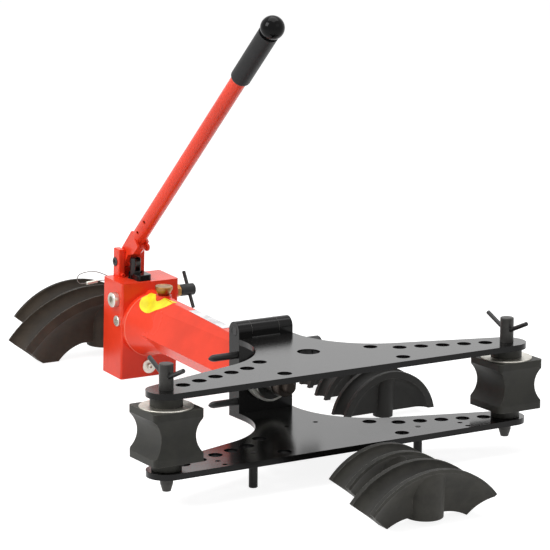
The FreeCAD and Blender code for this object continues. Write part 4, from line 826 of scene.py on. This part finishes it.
@dataclass
class Film:
    """A blank patch of film that lies on a surface of the frame."""

    name: str
    outline: tuple[Point, ...]
    finish: Finish
    slot: str
    node: str
    lift: float = 0.0003
    thick: float = 0.00015
    cuts: int = 11

    def build(self, body: str) -> None:
        """Stretch the outline over the node and give it its thickness.

        Args:
            body: body that the film rides on.
        """
        film = Bench.start("circle", vertices=len(self.outline), fill_type="NGON")
        for vertex, place in zip(film.data.vertices, self.outline):
            vertex.co = place
        Bench.pick(film, lambda centre, normal: True)
        bpy.ops.mesh.poke()
        bpy.ops.mesh.subdivide(number_cuts=self.cuts)
        bpy.ops.object.mode_set(mode="OBJECT")
        Bench.modify(film, "SHRINKWRAP", target=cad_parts[self.node],
                     wrap_mode="ABOVE_SURFACE", offset=self.lift)
        Bench.modify(film, "SOLIDIFY", thickness=self.thick, offset=0.0)
        Bench.close(film, self.name)
        Bench.hand_over(film, self.finish, self.slot, body)


def rounded(corners: Sequence[Point], steps: int) -> tuple[Point, ...]:
    """Smooth closed outline through some corners.

    Args:
        corners: points that it passes through.
        steps: points for each stretch.

    Returns:
        The outline's points.
    """
    count = len(corners)
    outline = []
    for index in range(count):
        p0, p1, p2, p3 = (Vector(corners[(index + k) % count]) for k in (-1, 0, 1, 2))
        for step in range(steps):
            t = step / steps
            outline.append(tuple(0.5 * (2 * p1 + (p2 - p0) * t
                                        + (2 * p0 - 5 * p1 + 4 * p2 - p3) * t ** 2
                                        + (3 * p1 - p0 - 3 * p2 + p3) * t ** 3)))
    return tuple(outline)


@dataclass
class Ring:
    """A thin raised ring or washer round an axis along X or, when it faces, along Y."""

    name: str
    centre: Point
    radius: float
    section: float
    finish: Finish
    slot: str
    faces_front: bool = False
    segments: tuple[int, int] = (96, 12)

    def build(self, body: str) -> None:
        """Turn the ring to its axis and hand it over.

        Args:
            body: body that the ring rides on.
        """
        quarter = math.pi / 2
        turn = (quarter, 0.0, 0.0) if self.faces_front else (0.0, quarter, 0.0)
        around, across = self.segments
        ring = Bench.start("torus", major_radius=self.radius, minor_radius=self.section,
                           major_segments=around, minor_segments=across,
                           location=self.centre, rotation=turn)
        Bench.close(ring, self.name, 60.0)
        Bench.hand_over(ring, self.finish, self.slot, body)


# ------------------------------------------------------------------ sub-assemblies
@dataclass
class WingUnit:
    """The two wing plates, their rear block and feet."""

    def build(self) -> None:
        """Dress the plates, the block and the feet."""
        dress(Finish.BLACK_PAINT, "lower_wing", "upper_wing", "rear_block", "feet")
        dress(Finish.BLACK_STEEL, "foot_screws")
        log.info("wing unit")


@dataclass
class Hinge:
    """The knuckle on the upper wing, its pin, washers and weld, and the retaining pins."""

    axis_y: float = -0.09706
    axis_z: float = 0.16977
    barrel: float = 0.015
    joint_x: float = 0.02445
    washer: float = 0.0003
    washer_inset: float = 0.0001
    end_x: float = 0.0485
    pin_radius: float = 0.007
    end_ring: float = 0.0006
    end_gap: float = 0.0004
    foot_y: float = -0.1125
    foot_z: float = 0.16045
    weld_reach: float = 0.0235
    weld_radius: float = 0.0025
    weld_ripple: float = 0.0026

    def build(self) -> None:
        """Dress the hinge and the retaining pins, and add washers, end ring and weld."""
        dress(Finish.BLACK_PAINT, "hinge_knuckle")
        dress(Finish.BLACK_STEEL, "hinge_pin", "retaining_pin_upper", "retaining_pin_lower")
        for side, sign in (("left", -1), ("right", 1)):
            Ring(f"hinge_washer_{side}", (sign * self.joint_x, self.axis_y, self.axis_z),
                 self.barrel - self.washer_inset, self.washer, Finish.PIN_STEEL,
                 "block_steel").build("frame")
            Ring(f"hinge_pin_ring_{side}", (sign * self.end_x, self.axis_y, self.axis_z),
                 self.pin_radius + self.end_gap, self.end_ring, Finish.BLACK_STEEL,
                 "dark_steel").build("frame")
        WeldBead("knuckle_weld", (-self.weld_reach, self.foot_y, self.foot_z),
                 (self.weld_reach, self.foot_y, self.foot_z), self.weld_radius,
                 Finish.BLACK_PAINT, "gloss_black", self.weld_ripple).build("frame")
        log.info("hinge")


class Side(Enum):
    """Side of the wings."""

    LEFT = "left"
    RIGHT = "right"


@dataclass
class AnglePivot:
    """One angle block with its ring, pivot pin and bent rod."""

    side: Side

    def build(self) -> None:
        """Dress the block, ring, pin and rod of one side."""
        end = self.side.value
        dress(Finish.BLOCK_STEEL, f"angle_block_{end}")
        dress(Finish.PIN_STEEL, f"pivot_pin_{end}")
        dress(Finish.ZINC, f"block_ring_{end}")
        dress(Finish.BLACK_STEEL, f"pivot_rod_{end}")
        log.info("angle pivot %s", end)


@dataclass
class FillerCap:
    """Brass filler cap: a flat rim over a fluted, tapering grip, with its stem."""

    centre_y: float = 0.2115
    steps: tuple[Range, ...] = (
        (0.0064, 0.1413), (0.0069, 0.1418), (0.0069, 0.1513), (0.0090, 0.1513),
        (0.0096, 0.1519), (0.0132, 0.1592), (0.0141, 0.1604), (0.0145, 0.1612),
        (0.0145, 0.1652), (0.0140, 0.1660), (0.0108, 0.1662), (0.0102, 0.1657))
    points: int = 72
    flute: float = 0.0007
    flute_rim: float = 0.00012
    flute_every: int = 3
    taper: Range = (0.1525, 0.159)
    taper_radius: float = 0.009

    def build(self) -> None:
        """Draw the cap, sink its flutes and stand it in for the frame's cap."""
        cap = Bench.lathe(self.steps, self.points)
        half_step = math.pi / self.points

        def on_taper(centre: Vector, normal: Vector) -> bool:
            """Test a face of the cap.

            Args:
                centre: its centre.
                normal: its normal.

            Returns:
                True for every third face of the tapering grip.
            """
            turn = round((math.atan2(centre.y, centre.x) - half_step) / (2 * half_step))
            outside = math.hypot(centre.x, centre.y) > self.taper_radius
            low, high = self.taper
            return low < centre.z < high and outside and turn % self.flute_every == 0

        Bench.pick(cap, on_taper)
        bpy.ops.mesh.inset(thickness=self.flute_rim, use_individual=True)
        bpy.ops.transform.shrink_fatten(value=-self.flute)
        bpy.ops.object.mode_set(mode="OBJECT")
        cap.location.y = self.centre_y
        Bench.close(cap, "fluted_cap", 30.0)
        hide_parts("filler_cap")
        Bench.hand_over(cap, Finish.BRASS, "brass", "filler_cap")


@dataclass
class CylinderUnit:
    """The red housing with its two blank films, the ram, the gland and the filler."""

    yellow: tuple[Point, ...] = (
        (-0.0302, 0.2389, 0.1322), (-0.0195, 0.2467, 0.1412), (-0.0077, 0.2443, 0.1465),
        (-0.0058, 0.2273, 0.1485), (-0.0038, 0.1903, 0.1484), (-0.0008, 0.1656, 0.1479),
        (-0.0172, 0.1826, 0.1372), (-0.0256, 0.2044, 0.1263), (-0.0306, 0.2156, 0.1224),
        (-0.0328, 0.2287, 0.1255))
    white: tuple[Point, ...] = (
        (-0.0085, 0.004, 0.1445), (0.0095, 0.004, 0.1445), (0.0075, 0.116, 0.1465),
        (-0.0072, 0.116, 0.1465))
    bell_y: float = 0.2468
    bell_z: float = 0.09165
    bell_radius: float = 0.0529
    bell_section: float = 0.0011
    outline_steps: int = 4
    white_cuts: int = 31

    def build(self) -> None:
        """Dress the cylinder, the ram and the filler, and lay the films."""
        dress(Finish.HOUSING, "cylinder_housing")
        dress(Finish.RED_PAINT, "filler_neck")
        dress(Finish.GLAND, "cylinder_gland")
        dress(Finish.RAM_STEEL, "ram_rod")
        dress(Finish.NOSE_IRON, "ram_nose")
        dress(Finish.RUBBER, "rod_wiper", "piston_seal")
        dress(Finish.BRASS, "filler_cap")
        FillerCap().build()
        # The bead round the bell takes the lighter red of a painted highlight.
        Ring("bell_step", (0.0, self.bell_y, self.bell_z), self.bell_radius, self.bell_section,
             Finish.RED_EDGE, "red_paint", True).build("frame")
        Film("filler_film", rounded(self.yellow, self.outline_steps), Finish.YELLOW_FILM,
             "gland_metal", "cylinder_housing").build("frame")
        Film("housing_film", self.white, Finish.WHITE_FILM, "gland_metal",
             "cylinder_housing", cuts=self.white_cuts).build("frame")
        log.info("cylinder unit")


@dataclass
class PumpUnit:
    """The pump block with its plugs, plunger, gland and welded fulcrum ears."""

    top: float = 0.1635
    ear_front: float = 0.3025
    ears: tuple[Range, ...] = ((-0.0348, -0.0244), (0.0024, 0.0128))
    weld_radius: float = 0.0013

    def build(self) -> None:
        """Dress the pump and weld its ears on."""
        dress(Finish.RED_PAINT, "pump_block", "fulcrum_ear_left", "fulcrum_ear_right",
              "fulcrum_web", "fulcrum_screw")
        dress(Finish.ZINC, "check_plug_large", "check_plug_small", "front_washer",
              "front_screw", "eye_screw", "lanyard_ferrule", "lanyard_wire")
        dress(Finish.BLACK_STEEL, "fulcrum_pin", "plunger_pin", "pump_plunger")
        dress(Finish.BLACK_PAINT, "plunger_gland")
        dress(Finish.RUBBER, "plunger_seal")
        dress(Finish.BRIGHT_STEEL, "check_balls")
        for index, (near, far) in enumerate(self.ears):
            WeldBead(f"ear_weld_{index + 1}", (near, self.ear_front, self.top),
                     (far, self.ear_front, self.top), self.weld_radius,
                     Finish.RED_PAINT, "red_paint").build("frame")
        log.info("pump unit")


@dataclass
class ReleaseValve:
    """The release valve on the right of the pump block."""

    def build(self) -> None:
        """Dress the valve."""
        dress(Finish.RED_PAINT, "valve_boss")
        dress(Finish.NUT_BRASS, "valve_nut")
        dress(Finish.BLACK_STEEL, "valve_knob", "tommy_bar")
        dress(Finish.BRIGHT_STEEL, "valve_stem")
        log.info("release valve")


@dataclass
class Lever:
    """The pump lever: holder, tube, grip, ball and clamp screw."""

    def build(self) -> None:
        """Dress the lever."""
        dress(Finish.HOLDER, "lever_holder")
        dress(Finish.RED_PAINT, "lever_tube", "lever_screw")
        dress(Finish.GRIP, "lever_grip")
        dress(Finish.BALL, "lever_ball")
        log.info("lever")


@dataclass
class FormerSet:
    """The seven loose bending formers."""

    grey: tuple[int, ...] = (42, 34)
    brown: tuple[int, ...] = (60, 48)
    dark: tuple[int, ...] = (27, 21, 17)

    def build(self) -> None:
        """Dress the formers."""
        for sizes, finish in ((self.grey, Finish.FORMER_IRON), (self.brown, Finish.FORMER_BROWN),
                              (self.dark, Finish.FORMER_DARK)):
            dress(finish, *(f"former_{size}" for size in sizes))
        log.info("formers")


@dataclass
class WireLoop:
    """The thin wire loop behind the pump block, which hangs between screw and ferrule."""

    diameter: float = 0.0015
    length: float = 0.151
    smoothness: int = 12
    roundness: int = 4
    order: int = 3
    route: tuple[Point, ...] = (
        (-0.029, 0.3315, 0.154), (-0.0445, 0.3325, 0.1625), (-0.062, 0.3335, 0.170),
        (-0.079, 0.3335, 0.1711), (-0.0947, 0.3335, 0.1683), (-0.0985, 0.333, 0.1595),
        (-0.0931, 0.3325, 0.1516), (-0.079, 0.332, 0.1519), (-0.062, 0.3315, 0.1534),
        (-0.045, 0.3315, 0.1545), (-0.029, 0.3315, 0.1505))

    def build(self) -> None:
        """Lay the wire along its route."""
        curve = bpy.data.curves.new("wire_loop", "CURVE")
        curve.dimensions = "3D"
        curve.resolution_u = self.smoothness
        curve.bevel_depth = self.diameter / 2
        curve.bevel_resolution = self.roundness
        curve.use_fill_caps = True
        spline = curve.splines.new("NURBS")
        spline.points.add(len(self.route) - 1)
        for point, place in zip(spline.points, self.route):
            point.co = (*place, 1.0)
        spline.order_u = self.order
        spline.use_endpoint_u = True
        wire = bpy.data.objects.new("wire_loop", curve)
        bpy.context.scene.collection.objects.link(wire)
        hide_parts("lanyard_wire")
        Bench.hand_over(wire, Finish.WIRE, "zinc_plate", "frame")
        log.info("wire loop")


# ------------------------------------------------------------------ studio
@dataclass
class Lamp:
    """One soft box."""

    name: str
    place: Point
    target: Point
    size: Range
    power: float

    def build(self) -> None:
        """Hang the lamp and turn it to its target."""
        data = bpy.data.lights.new(self.name, "AREA")
        data.shape = "RECTANGLE"
        data.size, data.size_y = self.size
        data.energy = self.power
        lamp = bpy.data.objects.new(self.name, data)
        bpy.context.scene.collection.objects.link(lamp)
        lamp.location = self.place
        aim = Vector(self.target) - Vector(self.place)
        lamp.rotation_mode = "QUATERNION"
        lamp.rotation_quaternion = aim.to_track_quat("-Z", "Y")


@dataclass
class Studio:
    """White studio: pale floor, white background, soft boxes and the camera."""

    ambient: float = 0.25
    floor_size: float = 12.0
    floor_drop: float = 0.0002
    floor_colour: Colour = (0.8, 0.8, 0.8)
    shown_colour: Colour = (0.45, 0.45, 0.45)
    floor_glow: float = 0.88
    camera_place: Point = (-2.05229, -3.42551, 1.21495)
    camera_right: Point = (0.85204505, -0.52264431, 0.02936241)
    camera_up: Point = (0.10045226, 0.21829741, 0.9706985)
    camera_back: Point = (-0.51373979, -0.82412934, 0.23850003)
    lens: float = 170.882
    sensor: float = 36.0
    clip: Range = (0.1, 60.0)
    lamps: list[Lamp] = field(default_factory=lambda: [
        Lamp("top_box", (0.2, 0.1, 2.4), (0.0, 0.0, 0.1), (2.0, 2.0), 36.0),
        Lamp("left_box", (-2.3, 0.0, 2.0), (0.0, 0.0, 0.2), (1.3, 1.3), 48.0),
        Lamp("back_box", (2.1, 3.3, 1.1), (0.0, 0.0, 0.2), (3.0, 0.9), 4.0),
        Lamp("front_box", (0.9, -2.6, 1.9), (0.0, 0.0, 0.2), (1.4, 1.2), 3.5)])

    def build(self) -> None:
        """Set up the world, the floor, the lamps and the camera."""
        bpy.context.scene.view_settings.view_transform = "Standard"
        self.world()
        self.floor()
        for lamp in self.lamps:
            lamp.build()
        self.camera()
        log.info("studio")

    def world(self) -> None:
        """White for what the camera and reflections see, softer for the light."""
        world = bpy.data.worlds.new("white_studio")
        bpy.context.scene.world = world
        world.use_nodes = True
        tree = world.node_tree
        tree.nodes.clear()
        rays = tree.nodes.new("ShaderNodeLightPath")
        seen = self.seen(tree, rays)
        strength = tree.nodes.new("ShaderNodeMix")
        strength.inputs[2].default_value = self.ambient
        strength.inputs[3].default_value = 1.0
        tree.links.new(seen, strength.inputs[0])
        light = tree.nodes.new("ShaderNodeBackground")
        light.inputs["Color"].default_value = (1.0, 1.0, 1.0, 1.0)
        tree.links.new(strength.outputs[0], light.inputs["Strength"])
        end = tree.nodes.new("ShaderNodeOutputWorld")
        tree.links.new(light.outputs[0], end.inputs["Surface"])

    @staticmethod
    def seen(tree: bpy.types.NodeTree, rays: bpy.types.Node) -> bpy.types.NodeSocket:
        """Mask of the rays that show the background.

        Args:
            tree: node tree that it is added to.
            rays: its Light Path node.

        Returns:
            The socket, 1 for camera, glossy and transmission rays.
        """
        total = rays.outputs["Is Camera Ray"]
        for name in ("Is Glossy Ray", "Is Transmission Ray"):
            node = tree.nodes.new("ShaderNodeMath")
            node.operation = "MAXIMUM"
            tree.links.new(total, node.inputs[0])
            tree.links.new(rays.outputs[name], node.inputs[1])
            total = node.outputs[0]
        return total

    def floor(self) -> None:
        """Lay the pale floor, which shows nearly white but keeps the shadow."""
        sheet = Bench.start("grid", x_subdivisions=2, y_subdivisions=2, size=self.floor_size,
                            location=(0.0, 0.0, -self.floor_drop))
        floor = Bench.close(sheet, "floor")
        g = Graph("pale_floor")
        rays = g.node("ShaderNodeLightPath")
        seen = Signal(g, self.seen(g.tree, rays))
        matt = g.node("ShaderNodeBsdfDiffuse", None, {"Color": (*self.floor_colour, 1.0)})
        shown = g.node("ShaderNodeBsdfDiffuse", None,
                       {"Color": (*self.shown_colour, 1.0)})
        glow = g.node("ShaderNodeEmission", None, {"Strength": self.floor_glow})
        both = g.node("ShaderNodeAddShader")
        g.tree.links.new(shown.outputs[0], both.inputs[0])
        g.tree.links.new(glow.outputs[0], both.inputs[1])
        mix = g.node("ShaderNodeMixShader", None, {0: seen})
        g.tree.links.new(matt.outputs[0], mix.inputs[1])
        g.tree.links.new(both.outputs[0], mix.inputs[2])
        g.tree.links.new(mix.outputs[0], g.end.inputs["Surface"])
        floor.data.materials.append(g.material)

    def camera(self) -> None:
        """Stand the camera where the photograph was taken from."""
        data = bpy.data.cameras.new("camera")
        data.lens = self.lens
        data.sensor_width = self.sensor
        data.clip_start, data.clip_end = self.clip
        camera = bpy.data.objects.new("camera", data)
        bpy.context.scene.collection.objects.link(camera)
        turn = Matrix((self.camera_right, self.camera_up, self.camera_back)).transposed()
        camera.matrix_world = Matrix.Translation(self.camera_place) @ turn.to_4x4()
        bpy.context.scene.camera = camera


def main() -> None:
    """Build the studio and every sub-assembly."""
    logging.basicConfig(level=logging.INFO, format="%(name)s: %(message)s")
    Studio().build()
    for unit in (WireLoop(), WingUnit(), Hinge(), AnglePivot(Side.LEFT),
                 AnglePivot(Side.RIGHT), CylinderUnit(), PumpUnit(), ReleaseValve(),
                 Lever(), FormerSet()):
        unit.build()


if __name__ == "__main__":
    main()
